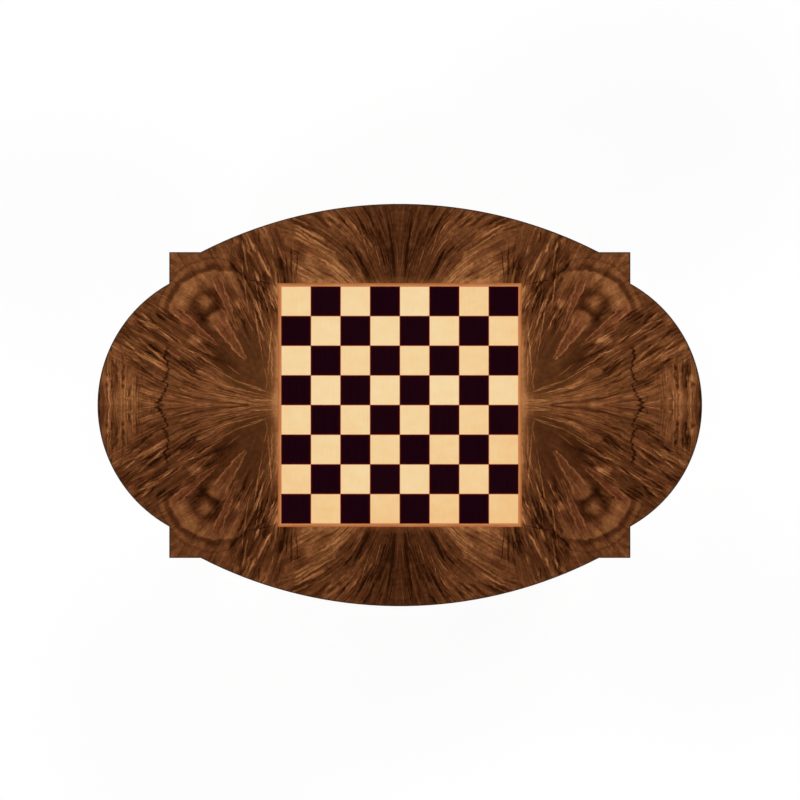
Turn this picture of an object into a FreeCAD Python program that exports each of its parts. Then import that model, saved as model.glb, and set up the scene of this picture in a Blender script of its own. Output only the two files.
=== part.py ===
"""Chess table: a shaped, veneered top with an inlaid board, on four tapered legs with bowed aprons.

The long sides and the ends of the top are bowed, and four square corners stand out between the bows,
one over each leg. Two drawers for the chessmen slide out of the long sides, back to back.
Millimetres, X along the table, Y across it, Z up, origin on the floor under the middle of the top.
"""

import FreeCAD, Part
import math
import os
import re

import Sketcher

# Driving dimensions, in millimetres
SIZES = {
    # the board
    "square_side": 50,
    "string_width": 5.5,
    # the top's outline and layers
    "table_height": 740,
    "top_length": 1020,
    "top_width": 679,
    "end_projection": 121,
    "side_projection": 81.5,
    "corner_side": 53,
    "veneer_thickness": 1,
    "core_thickness": 20,
    "backing_thickness": 1,
    # the moulded lipping round the edge of the top
    "lipping_width": 14,
    "rim_width": 2,
    "band_height": 10,
    "cove_radius": 9,
    # the legs
    "leg_side": 48,
    "leg_foot_side": 28,
    "leg_setback": 12,
    "leg_arris": 1.5,
    "taper_drop": 14,
    "glide_diameter": 20,
    "glide_thickness": 4,
    # the aprons and rails
    "apron_height": 96,
    "apron_thickness": 22,
    "apron_setback": 28,
    "end_apron_setback": 16,
    "end_bow": 60,
    "top_rail_thickness": 16,
    "bottom_rail_thickness": 18,
    "tenon_length": 22,
    "tenon_thickness": 12,
    "tenon_shoulder": 4,
    "end_tenon_shoulder": 7,
    "dovetail_root": 14,
    "dovetail_tip": 20,
    # the runners, kickers and stop between the two drawers
    "drawer_opening": 380,
    "runner_ledge": 20,
    "guide_thickness": 24,
    "guide_height": 24,
    "stub_length": 10,
    "stub_shoulder": 5,
    "stop_thickness": 20,
    "stop_height": 24,
    # the drawers
    "drawer_side_gap": 0.8,
    "drawer_top_gap": 1,
    "runner_gap": 0.4,
    "stop_gap": 0.5,
    "drawer_front_edge": 18,
    "drawer_side_drop": 5,
    "drawer_side_thickness": 10,
    "drawer_back_thickness": 8,
    "drawer_bottom_thickness": 5,
    "bottom_rise": 6,
    "groove_depth": 5,
    "lap_length": 12,
    "baize_thickness": 1,
    # the turned drawer knobs
    "knob_projection": 21,
    "knob_head_radius": 12,
    "knob_dome": 6,
    "knob_neck_radius": 6,
    "knob_flange_radius": 9,
    "knob_flange": 2.5,
    "spigot_radius": 5,
    "spigot_length": 20,
    # the blocks and screws that hold the top down
    "block_length": 50,
    "block_depth": 26,
    "screw_radius": 2,
    "screw_head_radius": 4,
    "screw_head_height": 2.5,
    "screw_bite": 13,
    "screw_tip": 4,
}

# Counts, and shares of the sizes that they follow
SQUARES = 8
FRONT_TAILS = 3
BACK_TAILS = 2
TAIL_ROOT_SHARE = 0.44
TAIL_TIP_SHARE = 0.62
BLOCK_PLACE_SHARE = 0.52
RAIL_SCREW_PLACE_SHARE = 0.34
KICKER_SCREW_PLACE_SHARE = 0.55

XY, XZ, YZ = "XY_Plane", "XZ_Plane", "YZ_Plane"

doc = FreeCAD.newDocument("ChessTable")
sheet = doc.addObject("Spreadsheet::Sheet", "Sizes")
pieces = []


def fill_sheet():
    """One row for each driving dimension: its name, and its value under that name."""
    for row, (name, value) in enumerate(SIZES.items(), start=1):
        sheet.set(f"A{row}", name)
        sheet.set(f"B{row}", str(value))
        sheet.setAlias(f"B{row}", name)
    doc.recompute()


def tied(text):
    """Expression text with every size name tied to its cell in the sheet."""
    return re.sub("[a-z_]+", lambda word: f"Sizes.{word[0]}" if word[0] in SIZES else word[0], str(text))


def number(text):
    """What an expression of sizes comes to, in millimetres."""
    return float(sheet.evalExpression(tied(text)))


def signed(sign, text):
    """An expression on the positive side of an axis, or its mirror image."""
    return text if sign > 0 else f"-({text})"


# Named levels and places, as expressions of the sizes
FACE_LOW = "(table_height - veneer_thickness)"
CORE_LOW = f"({FACE_LOW} - core_thickness)"
UNDERSIDE = f"({CORE_LOW} - backing_thickness)"
APRON_LOW = f"({UNDERSIDE} - apron_height)"
OPEN_LOW = f"({APRON_LOW} + bottom_rail_thickness)"
OPEN_HIGH = f"({UNDERSIDE} - top_rail_thickness)"
TAPER_TOP = f"({APRON_LOW} - taper_drop)"

BOARD_HALF = f"(square_side * {SQUARES // 2})"
STRING_HALF = f"({BOARD_HALF} + string_width)"

CORNER_X = "(top_length / 2 - end_projection)"
CORNER_Y = "(top_width / 2 - side_projection)"
SIDE_RADIUS = f"((({CORNER_X} - corner_side) ^ 2 + side_projection ^ 2) / (2 * side_projection))"
END_RADIUS = f"((({CORNER_Y} - corner_side) ^ 2 + end_projection ^ 2) / (2 * end_projection))"
SIDE_CENTRE = f"({SIDE_RADIUS} - top_width / 2)"
END_CENTRE = f"(top_length / 2 - {END_RADIUS})"

LEG_OUT_X = f"({CORNER_X} - leg_setback)"
LEG_OUT_Y = f"({CORNER_Y} - leg_setback)"
LEG_IN_X = f"({LEG_OUT_X} - leg_side)"
LEG_IN_Y = f"({LEG_OUT_Y} - leg_side)"

SIDE_BOW_RADIUS = f"({SIDE_RADIUS} - apron_setback)"
END_FACE_X = f"({LEG_OUT_X} - end_apron_setback)"
END_BOW_RADIUS = f"(({LEG_IN_Y} ^ 2 + end_bow ^ 2) / (2 * end_bow))"
END_BOW_CENTRE = f"({END_FACE_X} + end_bow - {END_BOW_RADIUS})"

OPEN_HALF = "(drawer_opening / 2)"
DRAWER_HALF = f"({OPEN_HALF} - drawer_side_gap)"
RUNNER_IN = f"({OPEN_HALF} - runner_ledge)"
RUNNER_OUT = f"({OPEN_HALF} + guide_thickness)"


def side_bow(along, inset="0"):
    """How far out the bowed face of a long side stands, at a place along the table."""
    return f"(sqrt(({SIDE_BOW_RADIUS} - {inset}) ^ 2 - ({along}) ^ 2) - {SIDE_CENTRE})"


def end_bow_face(across, inset="0"):
    """How far out the bowed face of an end apron stands, at a place across the table."""
    return f"({END_BOW_CENTRE} + sqrt(({END_BOW_RADIUS} - {inset}) ^ 2 - ({across}) ^ 2))"


def corner_x(inset):
    return f"({CORNER_X} - {inset})"


def corner_y(inset):
    return f"({CORNER_Y} - {inset})"


def side_joint(inset):
    """Where the bow of a long side meets a square corner, along X."""
    return f"sqrt(({SIDE_RADIUS} - {inset}) ^ 2 - ({corner_y(inset)} + {SIDE_CENTRE}) ^ 2)"


def end_joint(inset):
    """Where the bow of an end meets a square corner, along Y."""
    return f"sqrt(({END_RADIUS} - {inset}) ^ 2 - ({corner_x(inset)} - {END_CENTRE}) ^ 2)"


# Sketches and features


def rectangle(x_low, x_high, y_low, y_high):
    return [(x_low, y_low), (x_high, y_low), (x_high, y_high), (x_low, y_high)]


def segment(start, end, arc):
    """A line, or the shorter arc about a centre, with the numbers of its start and end points."""
    start, end = FreeCAD.Vector(*start, 0), FreeCAD.Vector(*end, 0)
    if arc is None:
        return Part.LineSegment(start, end), 1, 2
    centre = FreeCAD.Vector(number(arc[1]), number(arc[2]), 0)
    from_start, from_end = start - centre, end - centre
    turns_left = from_start.cross(from_end).z > 0
    first, last = (from_start, from_end) if turns_left else (from_end, from_start)
    circle = Part.Circle(centre, FreeCAD.Vector(0, 0, 1), number(arc[0]))
    curve = Part.ArcOfCircle(circle, math.atan2(first.y, first.x), math.atan2(last.y, last.x))
    return (curve, 1, 2) if turns_left else (curve, 2, 1)


def place_point(sketch, geometry, point, x, y):
    """Holds a sketch point at two expressions of the sizes."""
    for kind, text in (("DistanceX", x), ("DistanceY", y)):
        held = sketch.addConstraint(Sketcher.Constraint(kind, geometry, point, number(text)))
        sketch.setExpression(f"Constraints[{held}]", tied(text))


def add_outline(sketch, points, arcs):
    """One closed outline. Each arc has a radius and a centre, and leaves the point of its number."""
    places = [(number(x), number(y)) for x, y in points]
    count = len(points)
    edges = []
    for i in range(count):
        curve, start, end = segment(places[i], places[(i + 1) % count], arcs.get(i))
        edges.append((sketch.addGeometry(curve, False), start, end))
    for i, (geometry, start, end) in enumerate(edges):
        next_geometry, next_start, _ = edges[(i + 1) % count]
        sketch.addConstraint(Sketcher.Constraint("Coincident", geometry, end, next_geometry, next_start))
    for (geometry, start, _), (x, y) in zip(edges, points):
        place_point(sketch, geometry, start, x, y)
    for i, (radius, _, _) in arcs.items():
        held = sketch.addConstraint(Sketcher.Constraint("Radius", edges[i][0], number(radius)))
        sketch.setExpression(f"Constraints[{held}]", tied(radius))


def add_sketch(body, plane, level, outlines, arcs=None):
    """A sketch on one of the body's own planes, raised along that plane's normal."""
    sketch = body.newObject("Sketcher::SketchObject", "Outline")
    support = next(f for f in body.Origin.OriginFeatures if f.Role == plane)
    sketch.AttachmentSupport = [(support, "")]
    sketch.MapMode = "FlatFace"
    sketch.setExpression("AttachmentOffset.Base.z", tied(level))
    for outline in outlines:
        add_outline(sketch, outline, arcs or {})
    return sketch


def new_body(label):
    body = doc.addObject("PartDesign::Body", "Body")
    body.Label = label
    return body


def pad(body, outline, low, high, arcs=None, plane=XY):
    """Material from one level to another. The normal of the XZ plane runs along -Y."""
    level = f"-({high})" if plane == XZ else low
    feature = body.newObject("PartDesign::Pad", "Pad")
    feature.Profile = add_sketch(body, plane, level, [outline], arcs)
    feature.setExpression("Length", tied(f"{high} - ({low})"))
    return feature


def pocket(body, outlines, low, high, plane=XY):
    """A cut from one level to another. A pocket runs against its plane's normal."""
    level = f"-({low})" if plane == XZ else high
    feature = body.newObject("PartDesign::Pocket", "Pocket")
    feature.Profile = add_sketch(body, plane, level, outlines)
    feature.setExpression("Length", tied(f"{high} - ({low})"))
    return feature


def turn(body, degrees):
    """Turns a finished body about the table's middle."""
    body.Placement = FreeCAD.Placement(FreeCAD.Vector(), FreeCAD.Rotation(FreeCAD.Vector(0, 0, 1), degrees))


def keep(item, label=None):
    """Marks a finished object as one sub-part of the table."""
    if label:
        item.Label = label
    pieces.append(item)
    return item


def boolean(kind, base, tool, label):
    item = doc.addObject(f"Part::{kind}", kind)
    item.Base = base
    item.Tool = tool
    item.Label = label
    return item


def group(items, label):
    """Separate solids that share one node."""
    item = doc.addObject("Part::Compound", "Group")
    item.Links = items
    return keep(item, label)


# The top


def top_outline(inset):
    """The whole outline of the top, drawn in from its edge: points, and the arcs of its four bows."""
    x, y = corner_x(inset), corner_y(inset)
    side, end = side_joint(inset), end_joint(inset)
    points = []
    arcs = {}
    for sign in (1, -1):
        bow_end, bow_side = signed(sign, END_CENTRE), signed(-sign, SIDE_CENTRE)
        arcs[len(points)] = (f"{END_RADIUS} - {inset}", bow_end, "0")
        points += [(signed(sign, x), signed(-sign, end)), (signed(sign, x), signed(sign, end))]
        points += [(signed(sign, x), signed(sign, y))]
        arcs[len(points)] = (f"{SIDE_RADIUS} - {inset}", "0", bow_side)
        points += [(signed(sign, side), signed(sign, y)), (signed(-sign, side), signed(sign, y))]
        points += [(signed(-sign, x), signed(sign, y))]
    return points, arcs


def quarter_outline(x_sign, y_sign):
    """A quarter of the top inside its rim, less a quarter of the strung board."""
    inset = "rim_width"
    x, y = corner_x(inset), corner_y(inset)
    quarter = [
        (STRING_HALF, "0"),
        (f"top_length / 2 - {inset}", "0"),
        (x, end_joint(inset)),
        (x, y),
        (side_joint(inset), y),
        ("0", f"top_width / 2 - {inset}"),
        ("0", STRING_HALF),
        (STRING_HALF, STRING_HALF),
    ]
    points = [(signed(x_sign, px), signed(y_sign, py)) for px, py in quarter]
    arcs = {
        1: (f"{END_RADIUS} - {inset}", signed(x_sign, END_CENTRE), "0"),
        4: (f"{SIDE_RADIUS} - {inset}", "0", signed(-y_sign, SIDE_CENTRE)),
    }
    return points, arcs


def make_ground(screws):
    """The core of the top and the backing veneer that balances it, drilled for the screws."""
    points, arcs = top_outline("lipping_width")
    for label, low, high in (
        ("top_core", CORE_LOW, FACE_LOW),
        ("backing_veneer", UNDERSIDE, CORE_LOW),
    ):
        board = new_body(f"{label}_blank")
        pad(board, points, low, high, arcs)
        keep(boolean("Cut", board, screws, label))


def make_veneers():
    """Four matched leaves of burr, mirrored about both middle lines."""
    for y_sign, y_name in ((-1, "front"), (1, "back")):
        for x_sign, x_name in ((-1, "left"), (1, "right")):
            leaf = new_body(f"veneer_{y_name}_{x_name}")
            points, arcs = quarter_outline(x_sign, y_sign)
            pad(leaf, points, FACE_LOW, "table_height", arcs)
            keep(leaf)


def make_strings():
    """The string round the board: four strips, mitred at the corners."""
    strip = [
        (f"-{STRING_HALF}", f"-{STRING_HALF}"),
        (STRING_HALF, f"-{STRING_HALF}"),
        (BOARD_HALF, f"-{BOARD_HALF}"),
        (f"-{BOARD_HALF}", f"-{BOARD_HALF}"),
    ]
    for step, name in enumerate(("front", "right", "back", "left")):
        string = new_body(f"string_{name}")
        pad(string, strip, FACE_LOW, "table_height")
        turn(string, 90 * step)
        keep(string)


def make_squares():
    """Squares of two veneers, with a dark one in the near left corner of each player."""
    squares = {"dark_squares": [], "light_squares": []}
    for row in range(SQUARES):
        for column in range(SQUARES):
            square = doc.addObject("Part::Box", "Square")
            square.setExpression("Length", tied("square_side"))
            square.setExpression("Width", tied("square_side"))
            square.setExpression("Height", tied("veneer_thickness"))
            square.setExpression("Placement.Base.x", tied(f"square_side * {column} - {BOARD_HALF}"))
            square.setExpression("Placement.Base.y", tied(f"square_side * {row} - {BOARD_HALF}"))
            square.setExpression("Placement.Base.z", tied(FACE_LOW))
            squares["light_squares" if (row + column) % 2 else "dark_squares"].append(square)
    for label, boxes in squares.items():
        group(boxes, label)


# The moulded lipping


def lipping_profile(out):
    """Section of the lipping, inwards from the outer edge: rounded rim, band, cove and a rebate for the veneer."""

    def inward(depth):
        return f"({out}) - ({depth})"

    band_low = "(table_height - band_height)"
    rim_low = "(table_height - rim_width)"
    points = [
        (inward("rim_width"), "table_height"),
        (out, rim_low),
        (out, band_low),
        (inward("cove_radius"), f"{band_low} - cove_radius"),
        (inward("cove_radius"), UNDERSIDE),
        (inward("lipping_width"), UNDERSIDE),
        (inward("lipping_width"), FACE_LOW),
        (inward("rim_width"), FACE_LOW),
    ]
    arcs = {
        0: ("rim_width", inward("rim_width"), rim_low),
        2: ("cove_radius", out, f"{band_low} - cove_radius"),
    }
    return points, arcs


def footprint(points, label):
    """A prism on a plan outline, higher and lower than the lipping, that trims a strip to its mitres."""
    body = new_body(label)
    pad(body, points, f"{UNDERSIDE} - lipping_width", "table_height + lipping_width")
    return body


def past(outer, inner):
    """A mitre line run on past its outer end, as far again."""
    return f"2 * {outer} - {inner}"


def arc_lipping(label, radius, reach, spread, centre, degrees):
    """A bowed strip, turned about the bow's centre and mitred to the corner strips at both ends.
    reach and spread give the mitre's place out from the centre and to each side, at a given inset."""
    ring = new_body(f"{label}_ring")
    profile, arcs = lipping_profile(radius)
    revolution = ring.newObject("PartDesign::Revolution", "Turned")
    revolution.Profile = add_sketch(ring, XZ, "0", [profile], arcs)
    revolution.ReferenceAxis = (revolution.Profile[0], ["V_Axis"])
    revolution.Angle = 180
    revolution.Midplane = True
    near, side = reach("lipping_width"), spread("lipping_width")
    far_near, far_side = past(reach("0"), near), past(spread("0"), side)
    beyond = f"{radius} + lipping_width"
    outline = [
        (near, signed(-1, side)),
        (far_near, signed(-1, far_side)),
        (beyond, signed(-1, far_side)),
        (beyond, far_side),
        (far_near, far_side),
        (near, side),
    ]
    plan = footprint(outline, f"{label}_plan")
    for body in (ring, plan):
        turn(body, degrees)
        body.setExpression("Placement.Base.x", tied(centre[0]))
        body.setExpression("Placement.Base.y", tied(centre[1]))
    keep(boolean("Common", ring, plan, label))


def make_bowed_lippings():
    for sign, name in ((-1, "left"), (1, "right")):
        arc_lipping(
            f"end_lipping_{name}",
            END_RADIUS,
            lambda inset: f"({corner_x(inset)} - {END_CENTRE})",
            end_joint,
            (signed(sign, END_CENTRE), "0"),
            0 if sign > 0 else 180,
        )
    for sign, name in ((-1, "front"), (1, "back")):
        arc_lipping(
            f"side_lipping_{name}",
            SIDE_RADIUS,
            lambda inset: f"({corner_y(inset)} + {SIDE_CENTRE})",
            side_joint,
            ("0", signed(-sign, SIDE_CENTRE)),
            90 * sign,
        )


def straight_bar(out, half_length, degrees, label):
    """A straight length of lipping on one side of the table, longer than the corners need."""
    bar = new_body(label)
    profile, arcs = lipping_profile(out)
    pad(bar, profile, f"-({half_length} + lipping_width)", f"{half_length} + lipping_width", arcs, XZ)
    turn(bar, degrees)
    return bar


def make_corner_lippings():
    """Two short strips on each square corner, mitred to each other and to the bows."""
    end_bars, side_bars = {}, {}
    for sign in (-1, 1):
        end_bars[sign] = straight_bar(CORNER_X, CORNER_Y, 0 if sign > 0 else 180, "end_bar")
        side_bars[sign] = straight_bar(CORNER_Y, CORNER_X, 90 * sign, "side_bar")
    inner, outer = "lipping_width", "0"
    corner = (corner_x(inner), corner_y(inner))
    corner_far = (past(corner_x(outer), corner[0]), past(corner_y(outer), corner[1]))
    end_in = (corner_x(inner), end_joint(inner))
    end_far = (past(corner_x(outer), end_in[0]), past(end_joint(outer), end_in[1]))
    side_in = (side_joint(inner), corner_y(inner))
    side_far = (past(side_joint(outer), side_in[0]), past(corner_y(outer), side_in[1]))
    for y_sign, y_name in ((-1, "front"), (1, "back")):
        for x_sign, x_name in ((-1, "left"), (1, "right")):
            label = f"corner_lipping_{y_name}_{x_name}"
            strips = []
            for bar, quad in (
                (end_bars[x_sign], [end_in, end_far, corner_far, corner]),
                (side_bars[y_sign], [side_in, side_far, corner_far, corner]),
            ):
                points = [(signed(x_sign, px), signed(y_sign, py)) for px, py in quad]
                plan = footprint(points, f"{label}_plan")
                strips.append(boolean("Common", bar, plan, f"{label}_strip"))
            group(strips, label)


# The legs


def leg_section(x_sign, y_sign, side):
    """A square with its arrises taken off, set in the outer corner of the leg."""
    x_in, y_in = f"{LEG_OUT_X} - {side}", f"{LEG_OUT_Y} - {side}"
    corners = [
        (f"{x_in} + leg_arris", y_in),
        (f"{LEG_OUT_X} - leg_arris", y_in),
        (LEG_OUT_X, f"{y_in} + leg_arris"),
        (LEG_OUT_X, f"{LEG_OUT_Y} - leg_arris"),
        (f"{LEG_OUT_X} - leg_arris", LEG_OUT_Y),
        (f"{x_in} + leg_arris", LEG_OUT_Y),
        (x_in, f"{LEG_OUT_Y} - leg_arris"),
        (x_in, f"{y_in} + leg_arris"),
    ]
    return [(signed(x_sign, x), signed(y_sign, y)) for x, y in corners]


RAIL_END_Y = side_bow(LEG_IN_X)
RAIL_MIDDLE_Y = f"(({LEG_IN_Y} + {RAIL_END_Y}) / 2)"
RAIL_TENON_Y = (f"{LEG_IN_Y} + tenon_shoulder", f"{RAIL_END_Y} - tenon_shoulder")
RAIL_TENON_Z = (f"{APRON_LOW} + tenon_shoulder", f"{OPEN_LOW} - tenon_shoulder")
END_TENON_X = (f"{END_FACE_X} - end_tenon_shoulder - tenon_thickness", f"{END_FACE_X} - end_tenon_shoulder")
END_TENON_Z = (f"{OPEN_LOW} + tenon_shoulder", f"{OPEN_HIGH} - tenon_shoulder")
TENON_END_X = f"{LEG_IN_X} + tenon_length"
TENON_END_Y = f"{LEG_IN_Y} + tenon_length"


def rail_dovetail(x_sign, y_sign, root_x):
    """Plan of the lapped dovetail that ties a top rail to the head of a leg."""
    outline = [
        (root_x, f"{RAIL_MIDDLE_Y} - dovetail_root / 2"),
        (LEG_IN_X, f"{RAIL_MIDDLE_Y} - dovetail_root / 2"),
        (TENON_END_X, f"{RAIL_MIDDLE_Y} - dovetail_tip / 2"),
        (TENON_END_X, f"{RAIL_MIDDLE_Y} + dovetail_tip / 2"),
        (LEG_IN_X, f"{RAIL_MIDDLE_Y} + dovetail_root / 2"),
        (root_x, f"{RAIL_MIDDLE_Y} + dovetail_root / 2"),
    ]
    return [(signed(x_sign, x), signed(y_sign, y)) for x, y in outline]


def signed_rectangle(x_sign, y_sign, x_range, y_range):
    corners = rectangle(x_range[0], x_range[1], y_range[0], y_range[1])
    return [(signed(x_sign, x), signed(y_sign, y)) for x, y in corners]


def make_leg(x_sign, y_sign, label):
    """Square at the head, tapered on the two inner faces, mortised for the end apron and the rails."""
    leg = new_body(label)
    pad(leg, leg_section(x_sign, y_sign, "leg_side"), TAPER_TOP, UNDERSIDE)
    foot = add_sketch(leg, XY, "glide_thickness", [leg_section(x_sign, y_sign, "leg_foot_side")])
    head = add_sketch(leg, XY, TAPER_TOP, [leg_section(x_sign, y_sign, "leg_side")])
    taper = leg.newObject("PartDesign::AdditiveLoft", "Taper")
    taper.Profile = foot
    taper.Sections = [head]
    taper.Ruled = True
    rail_x = (f"{LEG_IN_X} - leg_arris", TENON_END_X)
    pocket(leg, [signed_rectangle(x_sign, y_sign, rail_x, RAIL_TENON_Y)], *RAIL_TENON_Z)
    apron_y = (f"{LEG_IN_Y} - leg_arris", TENON_END_Y)
    pocket(leg, [signed_rectangle(x_sign, y_sign, END_TENON_X, apron_y)], *END_TENON_Z)
    pocket(leg, [rail_dovetail(x_sign, y_sign, f"{LEG_IN_X} - leg_arris")], OPEN_HIGH, UNDERSIDE)
    keep(leg)


def make_legs():
    glides = []
    for y_sign, y_name in ((-1, "front"), (1, "back")):
        for x_sign, x_name in ((-1, "left"), (1, "right")):
            make_leg(x_sign, y_sign, f"leg_{y_name}_{x_name}")
            glide = doc.addObject("Part::Cylinder", "Glide")
            glide.setExpression("Radius", tied("glide_diameter / 2"))
            glide.setExpression("Height", tied("glide_thickness"))
            middle_x, middle_y = f"{LEG_OUT_X} - leg_foot_side / 2", f"{LEG_OUT_Y} - leg_foot_side / 2"
            glide.setExpression("Placement.Base.x", tied(signed(x_sign, middle_x)))
            glide.setExpression("Placement.Base.y", tied(signed(y_sign, middle_y)))
            glides.append(glide)
    group(glides, "foot_glides")


# The aprons and rails


def make_end_aprons():
    """Bowed aprons between the legs at each end, with a tenon at both shoulders."""
    back_x = end_bow_face(LEG_IN_Y, "apron_thickness")
    outline = [
        (END_FACE_X, signed(-1, LEG_IN_Y)),
        (END_FACE_X, LEG_IN_Y),
        (back_x, LEG_IN_Y),
        (back_x, signed(-1, LEG_IN_Y)),
    ]
    arcs = {
        0: (END_BOW_RADIUS, END_BOW_CENTRE, "0"),
        2: (f"{END_BOW_RADIUS} - apron_thickness", END_BOW_CENTRE, "0"),
    }
    for degrees, name in ((180, "left"), (0, "right")):
        apron = new_body(f"end_apron_{name}")
        pad(apron, outline, APRON_LOW, UNDERSIDE, arcs)
        for y_sign in (-1, 1):
            pad(apron, signed_rectangle(1, y_sign, END_TENON_X, (LEG_IN_Y, TENON_END_Y)), *END_TENON_Z)
        turn(apron, degrees)
        keep(apron)


def rail_outline():
    """A flat board with a straight back edge and a bowed front edge, for the front of the table."""
    points = [
        (signed(-1, LEG_IN_X), signed(-1, RAIL_END_Y)),
        (LEG_IN_X, signed(-1, RAIL_END_Y)),
        (LEG_IN_X, signed(-1, LEG_IN_Y)),
        (signed(-1, LEG_IN_X), signed(-1, LEG_IN_Y)),
    ]
    return points, {0: (SIDE_BOW_RADIUS, "0", SIDE_CENTRE)}


STUB_X = (f"{RUNNER_IN} + stub_shoulder", f"{RUNNER_OUT} - stub_shoulder")
STUB_END_Y = f"{LEG_IN_Y} + stub_length"
RUNNER_STUB_Z = (f"{APRON_LOW} + stub_shoulder", f"{OPEN_LOW} - stub_shoulder")
KICKER_STUB_Z = (f"{OPEN_HIGH} + stub_shoulder", f"{UNDERSIDE} - stub_shoulder")


def make_rails(screws):
    """Rails over and under each drawer, with sockets in their back edges for the kickers and runners."""
    points, arcs = rail_outline()
    socket_y = (f"{LEG_IN_Y} - stub_length", STUB_END_Y)
    sockets = [signed_rectangle(x_sign, -1, STUB_X, socket_y) for x_sign in (-1, 1)]
    for degrees, name in ((0, "front"), (180, "back")):
        bottom = new_body(f"{name}_bottom_rail")
        pad(bottom, points, APRON_LOW, OPEN_LOW, arcs)
        for x_sign in (-1, 1):
            pad(bottom, signed_rectangle(x_sign, -1, (LEG_IN_X, TENON_END_X), RAIL_TENON_Y), *RAIL_TENON_Z)
        pocket(bottom, sockets, *RUNNER_STUB_Z)
        turn(bottom, degrees)
        keep(bottom)
        top = new_body(f"{name}_top_rail_blank")
        pad(top, points, OPEN_HIGH, UNDERSIDE, arcs)
        for x_sign in (-1, 1):
            pad(top, rail_dovetail(x_sign, -1, f"{LEG_IN_X} - dovetail_root"), OPEN_HIGH, UNDERSIDE)
        pocket(top, sockets, *KICKER_STUB_Z)
        turn(top, degrees)
        keep(boolean("Cut", top, screws, f"{name}_top_rail"))


def make_side_aprons():
    """Bowed panels between the rails, from each leg to the drawer opening."""
    for y_sign, y_name in ((-1, "front"), (1, "back")):
        for x_sign, x_name in ((-1, "left"), (1, "right")):
            panel = new_body(f"{y_name}_apron_{x_name}")
            inner = "apron_thickness"
            quad = [
                (OPEN_HALF, side_bow(OPEN_HALF)),
                (LEG_IN_X, RAIL_END_Y),
                (LEG_IN_X, side_bow(LEG_IN_X, inner)),
                (OPEN_HALF, side_bow(OPEN_HALF, inner)),
            ]
            points = [(signed(x_sign, px), signed(y_sign, py)) for px, py in quad]
            centre = ("0", signed(-y_sign, SIDE_CENTRE))
            arcs = {
                0: (SIDE_BOW_RADIUS, *centre),
                2: (f"{SIDE_BOW_RADIUS} - {inner}", *centre),
            }
            pad(panel, points, OPEN_LOW, OPEN_HIGH, arcs)
            keep(panel)


def make_runners(screws):
    """Runners and kickers from rail to rail, and the rail that stops both drawers."""
    guide_top = f"{OPEN_LOW} + guide_height"
    step = [
        (RUNNER_IN, APRON_LOW),
        (RUNNER_OUT, APRON_LOW),
        (RUNNER_OUT, guide_top),
        (OPEN_HALF, guide_top),
        (OPEN_HALF, OPEN_LOW),
        (RUNNER_IN, OPEN_LOW),
    ]
    for x_sign, name in ((-1, "left"), (1, "right")):
        runner = new_body(f"drawer_runner_{name}")
        section = [(signed(x_sign, x), z) for x, z in step]
        pad(runner, section, signed(-1, LEG_IN_Y), LEG_IN_Y, plane=XZ)
        pad(runner, stub_plan(x_sign), *RUNNER_STUB_Z)
        keep(runner)
        kicker = new_body(f"drawer_kicker_{name}_blank")
        plan = signed_rectangle(x_sign, 1, (RUNNER_IN, RUNNER_OUT), (signed(-1, LEG_IN_Y), LEG_IN_Y))
        pad(kicker, plan, OPEN_HIGH, UNDERSIDE)
        pad(kicker, stub_plan(x_sign), *KICKER_STUB_Z)
        keep(boolean("Cut", kicker, screws, f"drawer_kicker_{name}"))
    stop = new_body("drawer_stop_rail")
    plan = rectangle(signed(-1, OPEN_HALF), OPEN_HALF, "-stop_thickness / 2", "stop_thickness / 2")
    pad(stop, plan, OPEN_LOW, f"{OPEN_LOW} + stop_height")
    keep(stop)


def stub_plan(x_sign):
    """A tongue that runs through a runner or kicker and out at both ends."""
    return signed_rectangle(x_sign, 1, STUB_X, (signed(-1, STUB_END_Y), STUB_END_Y))


# The blocks and screws that hold the top down

BLOCK_MIDDLE = f"({LEG_IN_Y} * {BLOCK_PLACE_SHARE})"
BLOCK_NEAR = f"({BLOCK_MIDDLE} - block_length / 2)"
BLOCK_FAR = f"({BLOCK_MIDDLE} + block_length / 2)"
BLOCK_BACK = f"({end_bow_face(BLOCK_FAR, 'apron_thickness')} - block_depth)"
BLOCK_SCREW_X = f"({BLOCK_BACK} + block_depth / 2)"
SCREW_LENGTH = "(top_rail_thickness + backing_thickness + screw_bite)"


def make_blocks(screws):
    """Glue blocks inside the end aprons, shaped to the bow."""
    blocks = []
    for x_sign in (-1, 1):
        for y_sign in (-1, 1):
            quad = [
                (BLOCK_BACK, BLOCK_NEAR),
                (end_bow_face(BLOCK_NEAR, "apron_thickness"), BLOCK_NEAR),
                (end_bow_face(BLOCK_FAR, "apron_thickness"), BLOCK_FAR),
                (BLOCK_BACK, BLOCK_FAR),
            ]
            points = [(signed(x_sign, px), signed(y_sign, py)) for px, py in quad]
            arcs = {1: (f"{END_BOW_RADIUS} - apron_thickness", signed(x_sign, END_BOW_CENTRE), "0")}
            block = new_body("fixing_block")
            pad(block, points, OPEN_HIGH, UNDERSIDE, arcs)
            blocks.append(boolean("Cut", block, screws, "drilled_block"))
    group(blocks, "fixing_blocks")


def screw_places():
    """Where the screws go up into the top: through the rails, the kickers and the blocks."""
    rail_x = f"({OPEN_HALF} * {RAIL_SCREW_PLACE_SHARE})"
    rail_y = f"(({LEG_IN_Y} + {side_bow(rail_x)}) / 2)"
    kicker_x = f"(({RUNNER_IN} + {RUNNER_OUT}) / 2)"
    kicker_y = f"({LEG_IN_Y} * {KICKER_SCREW_PLACE_SHARE})"
    for x, y in ((rail_x, rail_y), (kicker_x, kicker_y), (BLOCK_SCREW_X, BLOCK_MIDDLE)):
        for x_sign in (-1, 1):
            for y_sign in (-1, 1):
                yield signed(x_sign, x), signed(y_sign, y)


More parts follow.
